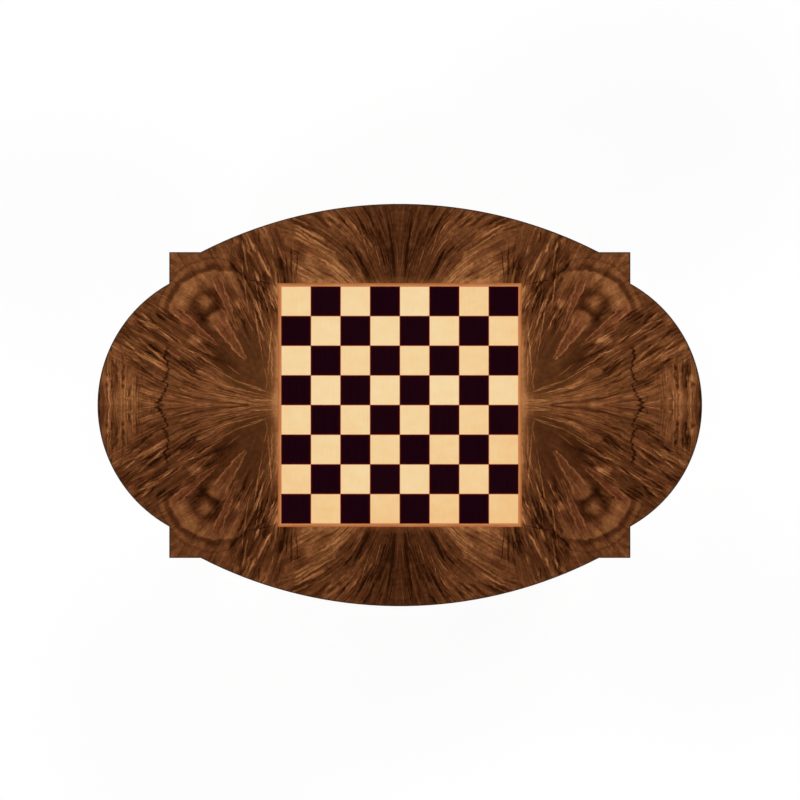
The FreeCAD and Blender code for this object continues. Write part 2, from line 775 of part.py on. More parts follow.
def make_screws():
    """Countersunk screws with pointed ends, all driven up from the level of the rails' undersides."""
    profile = [
        ("0", "0"),
        ("screw_head_radius", "0"),
        ("screw_radius", "screw_head_height"),
        ("screw_radius", f"{SCREW_LENGTH} - screw_tip"),
        ("0", SCREW_LENGTH),
    ]
    screws = []
    for x, y in screw_places():
        screw = new_body("screw")
        revolution = screw.newObject("PartDesign::Revolution", "Turned")
        revolution.Profile = add_sketch(screw, XZ, "0", [profile])
        revolution.ReferenceAxis = (revolution.Profile[0], ["V_Axis"])
        revolution.Angle = 360
        screw.setExpression("Placement.Base.x", tied(x))
        screw.setExpression("Placement.Base.y", tied(y))
        screw.setExpression("Placement.Base.z", tied(OPEN_HIGH))
        screws.append(screw)
    return group(screws, "top_screws")


# The drawers

FRONT_END_Y = f"-{side_bow(DRAWER_HALF)}"
FRONT_FACE_Y = f"-{side_bow('0')}"
FRONT_BACK_Y = f"({FRONT_END_Y} + drawer_front_edge)"
DRAWER_END_Y = "(-stop_thickness / 2 - stop_gap)"
BACK_FACE_Y = f"({DRAWER_END_Y} - drawer_back_thickness)"
DRAWER_LOW = f"({OPEN_LOW} + runner_gap)"
DRAWER_HIGH = f"({OPEN_HIGH} - drawer_top_gap)"
SIDE_HIGH = f"({DRAWER_HIGH} - drawer_side_drop)"
BOTTOM_LOW = f"({DRAWER_LOW} + bottom_rise)"
BOTTOM_HIGH = f"({BOTTOM_LOW} + drawer_bottom_thickness)"
SIDE_IN_X = f"({DRAWER_HALF} - drawer_side_thickness)"
PANEL_HALF = f"({SIDE_IN_X} + groove_depth)"
PANEL_FRONT_Y = f"({FRONT_BACK_Y} - groove_depth)"
KNOB_Z = f"(({DRAWER_LOW} + {DRAWER_HIGH}) / 2)"


def tails(root_y, tip_y, low, high, count):
    """Outlines of dovetails on a drawer side, from the lowest up, each from its lower root."""
    pitch = f"(({high} - {low}) / {count})"
    shapes = []
    for i in range(count):
        middle = f"({low} + {pitch} * {i + 0.5})"
        root, tip = f"{pitch} * {TAIL_ROOT_SHARE / 2}", f"{pitch} * {TAIL_TIP_SHARE / 2}"
        shapes.append(
            [
                (root_y, f"{middle} - {root}"),
                (tip_y, f"{middle} - {tip}"),
                (tip_y, f"{middle} + {tip}"),
                (root_y, f"{middle} + {root}"),
            ]
        )
    return shapes


def front_tails():
    return tails(FRONT_BACK_Y, f"({FRONT_BACK_Y} - lap_length)", DRAWER_LOW, SIDE_HIGH, FRONT_TAILS)


def back_tails():
    return tails(BACK_FACE_Y, DRAWER_END_Y, BOTTOM_HIGH, SIDE_HIGH, BACK_TAILS)


def drawer_sides_x():
    """The two sides of a drawer: name, inner and outer level along X."""
    yield "left", signed(-1, DRAWER_HALF), signed(-1, SIDE_IN_X)
    yield "right", SIDE_IN_X, DRAWER_HALF


def make_drawer_face(label):
    """A front bowed outside and flat inside, lapped over the dovetails, grooved, and bored for the knob."""
    face = new_body(label)
    outline = [
        (signed(-1, DRAWER_HALF), FRONT_END_Y),
        (DRAWER_HALF, FRONT_END_Y),
        (DRAWER_HALF, FRONT_BACK_Y),
        (signed(-1, DRAWER_HALF), FRONT_BACK_Y),
    ]
    pad(face, outline, DRAWER_LOW, DRAWER_HIGH, {0: (SIDE_BOW_RADIUS, "0", SIDE_CENTRE)})
    groove = rectangle(signed(-1, PANEL_HALF), PANEL_HALF, PANEL_FRONT_Y, FRONT_BACK_Y)
    pocket(face, [groove], BOTTOM_LOW, BOTTOM_HIGH)
    for _, low, high in drawer_sides_x():
        pocket(face, front_tails(), low, high, YZ)
    bore = face.newObject("PartDesign::Pocket", "Bore")
    sketch = add_sketch(face, XZ, f"-({FRONT_FACE_Y} + spigot_length)", [])
    circle = Part.Circle(FreeCAD.Vector(0, number(KNOB_Z), 0), FreeCAD.Vector(0, 0, 1), number("spigot_radius"))
    bored = sketch.addGeometry(circle, False)
    place_point(sketch, bored, 3, "0", KNOB_Z)
    held = sketch.addConstraint(Sketcher.Constraint("Radius", bored, number("spigot_radius")))
    sketch.setExpression(f"Constraints[{held}]", tied("spigot_radius"))
    bore.Profile = sketch
    bore.Reversed = True
    bore.setExpression("Length", tied("spigot_length"))
    return face


def make_drawer_side(label, low, high, inner_low, inner_high):
    """A side with lapped tails at the front, through tails at the back and a groove for the bottom."""
    side = new_body(label)
    outline = [(FRONT_BACK_Y, DRAWER_LOW), (DRAWER_END_Y, DRAWER_LOW), (DRAWER_END_Y, BOTTOM_HIGH)]
    outline += [(BACK_FACE_Y, BOTTOM_HIGH)]
    for tail in back_tails():
        outline += tail
    outline += [(BACK_FACE_Y, SIDE_HIGH), (FRONT_BACK_Y, SIDE_HIGH)]
    for tail in reversed(front_tails()):
        outline += reversed(tail)
    pad(side, outline, low, high, plane=YZ)
    pocket(side, [rectangle(inner_low, inner_high, PANEL_FRONT_Y, DRAWER_END_Y)], BOTTOM_LOW, BOTTOM_HIGH)
    return side


def make_drawer_back(label):
    """A back above the bottom panel, with sockets for the tails of the sides."""
    back = new_body(label)
    plan = rectangle(signed(-1, DRAWER_HALF), DRAWER_HALF, BACK_FACE_Y, DRAWER_END_Y)
    pad(back, plan, BOTTOM_HIGH, SIDE_HIGH)
    for _, low, high in drawer_sides_x():
        pocket(back, back_tails(), low, high, YZ)
    return back


def make_knob(label):
    """A turned knob: spigot, flange, neck and a domed head."""
    knob = new_body(label)
    crown = f"({FRONT_FACE_Y} - knob_projection)"
    widest = f"({crown} + knob_dome)"
    swell = "(knob_head_radius - knob_neck_radius)"
    dome_radius = "((knob_head_radius ^ 2 + knob_dome ^ 2) / (2 * knob_dome))"
    flange_end = f"({FRONT_FACE_Y} - knob_flange)"
    profile = [
        ("0", f"{FRONT_FACE_Y} + spigot_length"),
        ("spigot_radius", f"{FRONT_FACE_Y} + spigot_length"),
        ("spigot_radius", FRONT_FACE_Y),
        ("knob_flange_radius", FRONT_FACE_Y),
        ("knob_flange_radius", flange_end),
        ("knob_neck_radius", flange_end),
        ("knob_neck_radius", f"{widest} + {swell}"),
        ("knob_head_radius", widest),
        ("0", crown),
    ]
    arcs = {
        6: (swell, "knob_neck_radius", widest),
        7: (dome_radius, "0", f"{crown} + {dome_radius}"),
    }
    revolution = knob.newObject("PartDesign::Revolution", "Turned")
    revolution.Profile = add_sketch(knob, XY, KNOB_Z, [profile], arcs)
    revolution.ReferenceAxis = (revolution.Profile[0], ["V_Axis"])
    revolution.Angle = 360
    return knob


def make_drawer(name, degrees):
    """Face, sides, back, bottom, baize lining and knob of one drawer."""
    parts = [make_drawer_face(f"{name}_drawer_face")]
    for side, low, high in drawer_sides_x():
        inner = (SIDE_IN_X, PANEL_HALF) if side == "right" else (signed(-1, PANEL_HALF), signed(-1, SIDE_IN_X))
        parts.append(make_drawer_side(f"{name}_drawer_{side}_side", low, high, *inner))
    parts.append(make_drawer_back(f"{name}_drawer_back"))
    bottom = new_body(f"{name}_drawer_bottom")
    pad(bottom, rectangle(signed(-1, PANEL_HALF), PANEL_HALF, PANEL_FRONT_Y, DRAWER_END_Y), BOTTOM_LOW, BOTTOM_HIGH)
    baize = new_body(f"{name}_drawer_baize")
    lining = rectangle(signed(-1, SIDE_IN_X), SIDE_IN_X, FRONT_BACK_Y, BACK_FACE_Y)
    pad(baize, lining, BOTTOM_HIGH, f"{BOTTOM_HIGH} + baize_thickness")
    parts += [bottom, baize, make_knob(f"{name}_drawer_knob")]
    for piece in parts:
        turn(piece, degrees)
        keep(piece)


def check():
    """Stops if any object failed or any sub-part is not made of sound solids."""
    for item in doc.Objects:
        if "Invalid" in item.State or "Error" in item.State:
            raise RuntimeError(f"{item.Label} failed: {item.State}")
    for piece in pieces:
        shape = piece.Shape
        if shape.isNull() or not shape.isValid() or not shape.Solids:
            raise RuntimeError(f"{piece.Label} is not a sound solid")


def main():
    fill_sheet()
    screws = make_screws()
    make_ground(screws)
    make_veneers()
    make_strings()
    make_squares()
    make_bowed_lippings()
    make_corner_lippings()
    make_legs()
    make_end_aprons()
    make_rails(screws)
    make_side_aprons()
    make_runners(screws)
    make_blocks(screws)
    make_drawer("front", 0)
    make_drawer("back", 180)
    doc.recompute()
    check()
    os.makedirs("parts", exist_ok=True)
    for piece in pieces:
        piece.Shape.exportStep(f"parts/{piece.Label}.step")


main()
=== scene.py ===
"""Looks of the chess table: veneers, solid woods, baize and steel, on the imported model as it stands.

Metres throughout, in the model's own frame. Inside the materials, places and grain are in millimetres.
"""

import math

import bmesh
import bpy
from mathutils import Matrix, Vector, noise


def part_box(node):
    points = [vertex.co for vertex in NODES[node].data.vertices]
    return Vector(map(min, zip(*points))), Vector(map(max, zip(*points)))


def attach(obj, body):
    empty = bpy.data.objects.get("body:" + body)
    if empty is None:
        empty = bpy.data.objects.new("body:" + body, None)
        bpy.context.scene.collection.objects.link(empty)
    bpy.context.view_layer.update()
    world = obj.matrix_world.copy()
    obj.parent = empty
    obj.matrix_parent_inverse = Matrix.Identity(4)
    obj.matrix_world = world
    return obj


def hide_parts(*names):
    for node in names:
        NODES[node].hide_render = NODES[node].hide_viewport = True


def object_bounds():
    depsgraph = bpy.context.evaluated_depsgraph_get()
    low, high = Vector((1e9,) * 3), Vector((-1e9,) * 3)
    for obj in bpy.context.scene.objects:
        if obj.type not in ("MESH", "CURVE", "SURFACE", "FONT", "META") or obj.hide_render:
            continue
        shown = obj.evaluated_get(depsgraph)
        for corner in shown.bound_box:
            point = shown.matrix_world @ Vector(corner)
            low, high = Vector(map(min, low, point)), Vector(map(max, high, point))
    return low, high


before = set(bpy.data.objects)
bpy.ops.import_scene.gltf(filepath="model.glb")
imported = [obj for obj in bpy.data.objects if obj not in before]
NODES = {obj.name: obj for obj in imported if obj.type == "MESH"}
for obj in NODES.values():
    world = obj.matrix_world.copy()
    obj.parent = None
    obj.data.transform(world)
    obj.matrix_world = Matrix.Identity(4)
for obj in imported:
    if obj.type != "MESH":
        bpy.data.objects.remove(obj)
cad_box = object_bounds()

SIDES = ("front", "back")
MM = 0.001

# The camera looks straight down on the top, as in the photograph, and sees this much of it
PICTURE_SIDE = 1.3488
PICTURE_MIDDLE = (0.0003, 0.0085)
CAMERA_LENS = 85
CAMERA_SENSOR = 36
CAMERA_REACH = 100


def srgb(red, green, blue):
    """A colour as it shows on a screen, 0 to 255, as the linear colour that a shader takes."""
    shares = (value / 255 for value in (red, green, blue))
    linear = [s / 12.92 if s <= 0.04045 else ((s + 0.055) / 1.055) ** 2.4 for s in shares]
    return (*linear, 1.0)


# How deep each surface's relief stands, and how far sharp edges are eased
VENEER_RELIEF = 0.00004
SQUARE_RELIEF = 0.00003
SAWN_RELIEF = 0.00006
NAP_RELIEF = 0.0005
STEEL_RELIEF = 0.00003
NYLON_RELIEF = 0.00008
EASED_EDGE = 0.0012


# Fields and finishes


class Field:
    """A value that a material works out at each point of a surface, with plain arithmetic on it."""

    def __init__(self, finish, socket):
        self.finish = finish
        self.socket = socket

    def math(self, operation, *others):
        node = self.finish.add("ShaderNodeMath", dict(enumerate((self, *others))), operation=operation)
        return Field(self.finish, node.outputs[0])

    def __add__(self, other):
        return self.math("ADD", other)

    def __sub__(self, other):
        return self.math("SUBTRACT", other)

    def __rsub__(self, other):
        return self.math("MULTIPLY", -1).math("ADD", other)

    def __mul__(self, other):
        return self.math("MULTIPLY", other)

    def __truediv__(self, other):
        return self.math("DIVIDE", other)

    def __pow__(self, other):
        return self.math("POWER", other)

    def __abs__(self):
        return self.math("ABSOLUTE")

    __radd__ = __add__
    __rmul__ = __mul__

    def at_least(self, other):
        return self.math("MAXIMUM", other)

    def at_most(self, other):
        return self.math("MINIMUM", other)

    def angle_over(self, other):
        """The angle whose rise is this field and whose run is the other."""
        return self.math("ARCTAN2", other)

    def step(self, low, high):
        """0 below low and 1 above high, smooth between. It falls where low is the higher of the two."""
        values = {0: self, 1: low, 2: high}
        node = self.finish.add("ShaderNodeMapRange", values, interpolation_type="SMOOTHSTEP")
        return Field(self.finish, node.outputs[0])

    def toward(self, other, share):
        """This field where share is 0, the other where it is 1."""
        node = self.finish.add("ShaderNodeMix", {0: share, 2: self, 3: other}, data_type="FLOAT")
        return Field(self.finish, node.outputs[0])


class Finish:
    """A material in the making: its nodes, and the fields that feed its shader."""

    def __init__(self, name, roughness=0.4, specular=0.4):
        self.material = bpy.data.materials.new(name)
        self.material.use_nodes = True
        self.tree = self.material.node_tree
        self.shader = self.tree.nodes["Principled BSDF"]
        self.shader.inputs["Roughness"].default_value = roughness
        self.shader.inputs["Specular IOR Level"].default_value = specular

    def add(self, kind, values, **settings):
        node = self.tree.nodes.new(kind)
        for name, value in settings.items():
            setattr(node, name, value)
        for socket, value in values.items():
            self.feed(node.inputs[socket], value)
        return node

    def feed(self, socket, value):
        if isinstance(value, Field):
            self.tree.links.new(value.socket, socket)
        else:
            socket.default_value = value

    def set(self, **values):
        """Feeds sockets of the shader, with _ for each space in a socket's name."""
        for name, value in values.items():
            self.feed(self.shader.inputs[name.replace("_", " ")], value)

    def place(self):
        """Where a point lies in the table's frame, in millimetres."""
        coordinates = self.add("ShaderNodeTexCoord", {})
        scaled = self.add("ShaderNodeVectorMath", {3: 1 / MM}, operation="SCALE")
        self.tree.links.new(coordinates.outputs["Object"], scaled.inputs[0])
        parts = self.add("ShaderNodeSeparateXYZ", {})
        self.tree.links.new(scaled.outputs[0], parts.inputs[0])
        return [Field(self, parts.outputs[i]) for i in range(3)]

    def noise(self, across, along, depth=0.0, detail=2.0, roughness=0.5):
        """Cloudy variation from 0 to 1, about one swell for each unit of its three places."""
        point = self.add("ShaderNodeCombineXYZ", {0: across, 1: along, 2: depth})
        values = {"Scale": 1.0, "Detail": detail, "Roughness": roughness}
        node = self.add("ShaderNodeTexNoise", values, noise_dimensions="3D")
        self.tree.links.new(point.outputs[0], node.inputs["Vector"])
        return Field(self, node.outputs[0])

    def ridge(self, *places, **settings):
        """1 along thin looping lines of a noise and less away from them."""
        return 1 - abs(self.noise(*places, **settings) * 2 - 1)

    def chance(self, *places):
        """A fixed random number for each whole-numbered cell."""
        cells = [place.math("FLOOR") if isinstance(place, Field) else place for place in places]
        point = self.add("ShaderNodeCombineXYZ", dict(enumerate(cells)))
        node = self.add("ShaderNodeTexWhiteNoise", {}, noise_dimensions="3D")
        self.tree.links.new(point.outputs[0], node.inputs["Vector"])
        return Field(self, node.outputs["Value"])

    def point(self, u, v):
        """A place on a flat face, for spots and streaks."""
        node = self.add("ShaderNodeCombineXYZ", {0: u, 1: v})
        return Field(self, node.outputs[0])

    def spot(self, point, middle, reach, turn=0.0):
        """1 at the middle of an ellipse, falling evenly to 0 at its edge."""
        values = {0: point, 1: (*middle, 0), 2: (0, 0, math.radians(turn)), 3: (*reach, 1)}
        local = self.add("ShaderNodeMapping", values, vector_type="TEXTURE")
        node = self.add("ShaderNodeTexGradient", {}, gradient_type="SPHERICAL")
        self.tree.links.new(local.outputs[0], node.inputs[0])
        return Field(self, node.outputs["Fac"])

    def streaks(self, point, places):
        """The strongest at each point of several streaks, each from a start to an end with a width."""
        strongest = None
        for start, end, width in places:
            middle = [(first + last) / 2 for first, last in zip(start, end)]
            run, rise = end[0] - start[0], end[1] - start[1]
            reach = (math.hypot(run, rise) * 0.55, width * 0.75)
            spot = self.spot(point, middle, reach, math.degrees(math.atan2(rise, run)))
            strongest = spot if strongest is None else strongest.at_least(spot)
        return strongest.step(0.0, 0.55)

    def tongue(self, point, root, tip):
        """How far each point lies along a tongue, 0 at its tip and 1 at its root, and how far across."""
        run, rise = root[0] - tip[0], root[1] - tip[1]
        turn = math.atan2(rise, run)
        length = math.hypot(run, rise)
        values = {0: point, 1: (*tip, 0), 2: (0, 0, turn), 3: (length, 1, 1)}
        local = self.add("ShaderNodeMapping", values, vector_type="TEXTURE")
        parts = self.add("ShaderNodeSeparateXYZ", {})
        self.tree.links.new(local.outputs[0], parts.inputs[0])
        return Field(self, parts.outputs[0]), Field(self, parts.outputs[1])

    def ramp(self, tone, stops):
        """Colours along a tone from 0 to 1."""
        node = self.add("ShaderNodeValToRGB", {0: tone})
        elements = node.color_ramp.elements
        while len(elements) < len(stops):
            elements.new(1.0)
        for element, (position, colour) in zip(elements, stops):
            element.position = position
            element.color = colour
        return Field(self, node.outputs[0])

    def blend(self, colour, other, share):
        """A colour where share is 0, the other where it is 1."""
        node = self.add("ShaderNodeMix", {0: share, 6: colour, 7: other}, data_type="RGBA")
        return Field(self, node.outputs[2])

    def tint(self, colour, hue):
        """A colour turned a little round the colour circle, where 0.5 leaves it as it is."""
        node = self.add("ShaderNodeHueSaturation", {"Color": colour, "Hue": hue})
        return Field(self, node.outputs[0])

    def soft_edges(self, radius):
        """The way a surface faces if its sharp edges were eased by that many metres."""
        node = self.add("ShaderNodeBevel", {"Radius": radius}, samples=6)
        return Field(self, node.outputs[0])

    def edge_wear(self, eased):
        """How far the eased surface turns from the sharp one, which is at its edges."""
        face = self.add("ShaderNodeNewGeometry", {})
        dot = self.add("ShaderNodeVectorMath", {0: eased}, operation="DOT_PRODUCT")
        self.tree.links.new(face.outputs["True Normal"], dot.inputs[1])
        return 1 - Field(self, dot.outputs["Value"])

    def relief(self, height, depth, eased=None):
        """Bump from a height from 0 to 1 that stands that many metres deep."""
        node = self.add("ShaderNodeBump", {"Strength": 1.0, "Distance": depth, "Height": height})
        if eased:
            self.feed(node.inputs["Normal"], eased)
        self.tree.links.new(node.outputs[0], self.shader.inputs["Normal"])


# The burr veneer of the top

WALNUT_TONES = [
    (0.00, srgb(36, 15, 3)),
    (0.15, srgb(60, 29, 9)),
    (0.32, srgb(76, 41, 18)),
    (0.48, srgb(93, 53, 26)),
    (0.64, srgb(113, 68, 36)),
    (0.80, srgb(136, 86, 48)),
    (1.00, srgb(172, 116, 70)),
]

# The figure of one leaf, in millimetres from the middle of the table
BOARD_EDGE = 206
FAN_APEX = (216, 20)
ARCH_FOOT = (168, 205)
KNOT = (307, 143)

# Middle, reach and turn of the quiet wood inside the fan
EYE = ((264, 74), (95, 55), 50)

# Tone of a leaf without its grain, and the painted shade that darkens the front leaves, where the light
# falls weaker
LEAF_TONE = 0.55
FRONT_PAINTED_SHADE = 0.085

# Radius about the knot and tone
RING_REACH = 140
RING_TONES = [
    (0, 0.74),
    (15, 0.68),
    (21, 0.18),
    (31, 0.20),
    (37, 0.28),
    (45, 0.20),
    (52, 0.25),
    (59, 0.64),
    (68, 0.82),
    (82, 0.80),
    (86, 0.28),
    (90, 0.28),
    (95, 0.56),
    (101, 0.58),
    (104, 0.38),
    (108, 0.56),
    (125, 0.50),
]

# Root, tip and width at the root of each pale tongue that points to the apex of the fan
TONGUES = [
    ((314, 224), (271, 120), 18),
    ((310, 148), (258, 73), 30),
    ((390, 170), (303, 97), 18),
]

# Distance from the middle line, and where the check lies there
CHECK_LENGTH = 100
CHECK_PATH = [
    (0, 404),
    (4, 408),
    (15, 400),
    (26, 396),
    (32, 391),
    (43, 398),
    (61, 389),
    (74, 392),
    (82, 396),
    (CHECK_LENGTH, 391),
]

# Start, end and width of single lines
LIGHT_STREAKS = [
    ((215, 28), (216, 96), 1.6),
    ((224, 34), (215, 150), 1.8),
    ((222, 32), (229, 66), 1.4),
    ((229, 64), (249, 186), 2.0),
    ((245, 118), (267, 165), 1.6),
    ((233, 150), (243, 212), 2.0),
    ((254, 150), (268, 250), 2.2),
    ((226, 24), (290, 46), 2.0),
    ((264, 46), (300, 75), 1.6),
    ((300, 75), (347, 111), 1.6),
    ((288, 50), (352, 92), 2.0),
    ((228, 16), (300, 34), 1.6),
    ((218, 21), (264, 33), 1.4),
    ((264, 33), (326, 70), 1.6),
    ((212, 8), (250, 9), 1.6),
    ((304, 78), (333, 96), 1.6),
    ((322, 80), (376, 99), 1.8),
    ((364, 103), (408, 132), 2.2),
    ((407, 132), (446, 146), 2.0),
    ((417, 139), (438, 157), 4.0),
    ((394, 73), (448, 119), 3.6),
    ((425, 72), (478, 122), 2.0),
    ((374, 104), (446, 156), 2.4),
    ((346, 57), (362, 72), 2.2),
    ((214, 208), (244, 268), 3.4),
    ((229, 130), (247, 192), 1.6),
    ((236, 206), (246, 232), 3.4),
    ((254, 210), (268, 288), 2.4),
    ((209, 158), (221, 180), 2.2),
    ((205, 184), (213, 204), 3.6),
    ((51, 248), (66, 298), 1.4),
    ((31, 228), (42, 270), 1.4),
    ((14, 228), (24, 254), 1.4),
    ((227, 24), (260, 37), 1.6),
    ((223, 38), (227, 24), 1.4),
]
DARK_STREAKS = [
    ((272, 222), (290, 246), 4.5),
    ((258, 208), (266, 226), 5.0),
    ((222, 188), (246, 214), 4.0),
    ((206, 150), (226, 186), 2.0),
    ((262, 252), (272, 276), 4.5),
    ((236, 268), (239, 298), 2.0),
    ((370, 102), (404, 132), 4.5),
    ((398, 142), (412, 156), 3.0),
    ((422, 126), (446, 144), 4.5),
    ((338, 50), (374, 82), 5.0),
    ((48, 206), (78, 268), 5.0),
    ((6, 205), (22, 330), 5.0),
    ((50, 280), (82, 336), 4.0),
    ((190, 216), (193, 258), 1.8),
    ((183, 214), (183, 272), 3.0),
    ((176, 212), (171, 264), 2.4),
    ((204, 150), (217, 180), 2.4),
    ((214, 172), (236, 200), 3.6),
    ((230, 174), (245, 200), 2.8),
    ((286, 239), (258, 211), 2.2),
    ((260, 212), (210, 203), 1.6),
    ((243, 203), (229, 172), 1.8),
    ((229, 173), (218, 146), 1.8),
]

# Middle, reach, turn and change of tone of each lighter or darker part
LEAF_PARTS = [
    ((128, 214), (85, 60), 30, 0.20),
    ((18, 270), (66, 150), -12, -0.22),
    ((72, 238), (26, 66), -28, -0.16),
    ((180, 292), (34, 30), 0, 0.12),
    ((307, 143), (22, 20), 0, 0.12),
    ((329, 175), (20, 17), 0, 0.36),
    ((270, 170), (14, 12), 0, 0.28),
    ((345, 109), (17, 12), 0, 0.36),
    ((338, 147), (16, 15), -20, -0.22),
    ((240, 152), (42, 60), -14, -0.18),
    ((268, 242), (32, 50), -22, -0.15),
    ((352, 226), (50, 28), -40, 0.12),
    ((312, 76), (60, 26), 32, -0.14),
    ((346, 74), (26, 18), 32, -0.16),
    ((396, 108), (100, 46), 34, -0.07),
    ((330, 10), (150, 34), 4, 0.08),
    ((466, 15), (76, 80), 0, 0.09),
    ((213, 184), (20, 28), -20, 0.26),
    ((392, 164), (26, 16), 36, 0.10),
    ((436, 68), (30, 16), 10, -0.20),
    ((436, 138), (22, 15), 0, -0.14),
    ((352, 126), (16, 11), 40, -0.26),
    ((196, 218), (12, 16), 0, 0.16),
    ((413, 35), (24, 9), 4, -0.14),
    ((238, 134), (10, 36), -10, -0.16),
]


class Leaf:
    """Where a point lies in its leaf, which is the mirror of its neighbours about the middle lines."""

    def __init__(self, wood):
        x, y, _ = wood.place()
        self.wood = wood
        self.u, self.v = abs(x), abs(y)
        self.left = x.step(1, -1)
        self.front = y.step(1, -1)
        self.drift = self.left * 0.12
        self.sway_u = self.cloud(60, self.left * 0.15 + 1.3, detail=1.5)
        self.sway_v = self.cloud(60, self.left * 0.15 + 7.9, detail=1.5)
        self.shake_u = self.cloud(11, self.left * 0.2 + 3.1, detail=4, roughness=0.6)
        self.shake_v = self.cloud(11, self.left * 0.2 + 9.7, detail=4, roughness=0.6)
        self.jag = self.cloud(7, self.drift + 17.3, detail=4, roughness=0.62) * 5.5
        self.mottle = self.cloud(20, self.drift + 4.2, detail=3)
        self.grain_u, self.grain_v = self.bent(9, 2.8)
        self.loose = wood.point(*self.bent(0, 14))

    def cloud(self, size, seed, **settings):
        """Variation about 0, with swells of that many millimetres."""
        return self.wood.noise(self.u / size, self.v / size, seed, **settings) - 0.5

    def bent(self, sway, shake):
        """The point's place, moved as the wood's own waves move it."""
        u = self.u + self.sway_u * sway + self.shake_u * shake
        v = self.v + self.sway_v * sway + self.shake_v * shake
        return u, v


def strands(wood, across, along, jag, seed):
    """Grain along a flow: broad bands, fine strands, and thin light and dark lines that break off."""
    bands = wood.noise(across / 11, along / 200, seed, detail=2)
    across = across + jag
    fine = wood.noise(across / 2.6, along / 70, seed + 10, detail=3, roughness=0.6)
    light = wood.ridge(across / 6, along / 120, seed + 20, detail=1).step(0.86, 0.985)
    light_gate = wood.noise(across / 14, along / 45, seed + 30).step(0.47, 0.58)
    dark = wood.ridge(across / 8, along / 120, seed + 40, detail=1).step(0.84, 0.985)
    dark_gate = wood.noise(across / 18, along / 45, seed + 50).step(0.47, 0.58)
    return bands, fine, light * light_gate, dark * dark_gate


def upright_flow(u, v):
    """Lines that stand up beside the board and lean outward above it."""
    lean = ((v - 100).at_least(0) ** 2) * 0.0008 + ((110 - v).at_least(0) ** 2) * 0.003
    run, rise = u - lean - 170, v + 60
    return run.angle_over(rise) * 210, (run**2 + rise**2) ** 0.5


def rising_flow(u, v):
    """Lines that leave the middle line level and climb to a steady slope."""
    low = (v.at_most(60) + 12) / 72
    climb = low.math("LOGARITHM", math.e) * 116 + (v - 60).at_least(0) * 1.61
    return (climb - u) * 0.53, u * 0.85 + v * 0.53


def arched_flow(u, v):
    """Lines that stand up at the middle of a long side and arch over toward the corners."""
    arch = (u + 5).math("LOGARITHM", math.e) * 125 - u * 0.25
    return (v - arch) * 0.6, (u + v) * 0.7


def level_flow(leaf, u, v):
    """Lines across the end of the table that wave more than the others."""
    return u + leaf.sway_u * 12 + leaf.shake_u * 3, v * 1.2


def arched_share(leaf):
    """1 in the part of the leaf along a long side, where the lines arch."""
    return ((leaf.v - ARCH_FOOT[1]) * 0.36 + ARCH_FOOT[0] - leaf.u + leaf.shake_u * 34).step(-9, 9)


def leaf_grain(leaf, arched):
    """The bands, fine strands and light and dark lines of four flows that meet along the leaf's lines."""
    wood, jag, drift = leaf.wood, leaf.jag, leaf.drift
    u, v = leaf.grain_u, leaf.grain_v
    flows = [
        strands(wood, *upright_flow(u, v), jag, drift + 2.5),
        strands(wood, *rising_flow(u, v), jag, drift + 5.5),
        strands(wood, *arched_flow(u, v), jag * 0.6, drift + 8.5),
        strands(wood, *level_flow(leaf, u, v), jag * 0.5, drift + 11.5),
    ]
    run, rise = leaf.u - FAN_APEX[0], leaf.v - FAN_APEX[1]
    rising = (run * 0.81 - rise * 0.59 + leaf.shake_u * 30).step(-9, 9)
    level = (leaf.u - 434 + leaf.shake_u * 190 + leaf.sway_v * 90).step(-30, 30)
    level = level * (leaf.u * 0.5 - leaf.v - 160 + leaf.shake_v * 150).step(-24, 24)
    met = []
    for first, second, third, fourth in zip(*flows):
        met.append(first.toward(second, rising).toward(third, arched).toward(fourth, level))
    bands, fine, light, dark = met
    return bands, fine, light * (1 - level * 0.6), dark * (level * 0.4 + 1)


def knot_rings(leaf):
    """The tone of the rings about the knot, and where they show."""
    wood = leaf.wood
    run = leaf.u - KNOT[0] + leaf.shake_u * 8
    rise = leaf.v - KNOT[1] + leaf.shake_v * 8
    far = (run**2 + rise**2) ** 0.5 + leaf.cloud(30, leaf.drift + 6.1) * 14
    turn = rise.angle_over(run)
    stops = [(radius / RING_REACH, (tone, tone, tone, 1)) for radius, tone in RING_TONES]
    rings = wood.ramp(far / RING_REACH, stops)
    shown = turn.step(0.10, 0.30) * turn.step(2.1, 1.6) * far.step(150, 105)
    return rings, shown.at_least(far.step(40, 24) * 0.8)


def plain_tone(leaf, beside_board):
    """The leaf's lighter and darker parts and the painted shade of the front leaves, before any grain."""
    # Painted shade: the front leaves are darkened where the light falls weaker
    tone = LEAF_TONE + beside_board * 0.4 - leaf.front * FRONT_PAINTED_SHADE
    for *where, change in LEAF_PARTS:
        tone = tone + leaf.wood.spot(leaf.loose, *where).step(0, 0.7) * change
    return tone


def pale_tongues(leaf):
    """How far each point lies in a tongue, and how light the strands of the tongue are there."""
    bent_u, bent_v = leaf.bent(0, 9)
    mark = leaf.wood.point(bent_u + leaf.jag * 0.8, bent_v)
    inside, strand = None, None
    for root, tip, width in TONGUES:
        along, across = leaf.wood.tongue(mark, root, tip)
        edge = abs(across) / ((along.at_least(0.0) ** 0.7) * width * 0.5 + 0.8)
        here = edge.step(1.1, 0.85) * along.step(-0.02, 0.08) * along.step(1.05, 0.8)
        lines = leaf.wood.noise(across / 2.4, along * 2, width, detail=2)
        glow = here * (edge.step(0.4, 0.8) * 0.7 + (lines - 0.5) * 1.8 + 0.5)
        inside = here if inside is None else inside.at_least(here)
        strand = glow if strand is None else strand.at_least(glow)
    return inside, strand


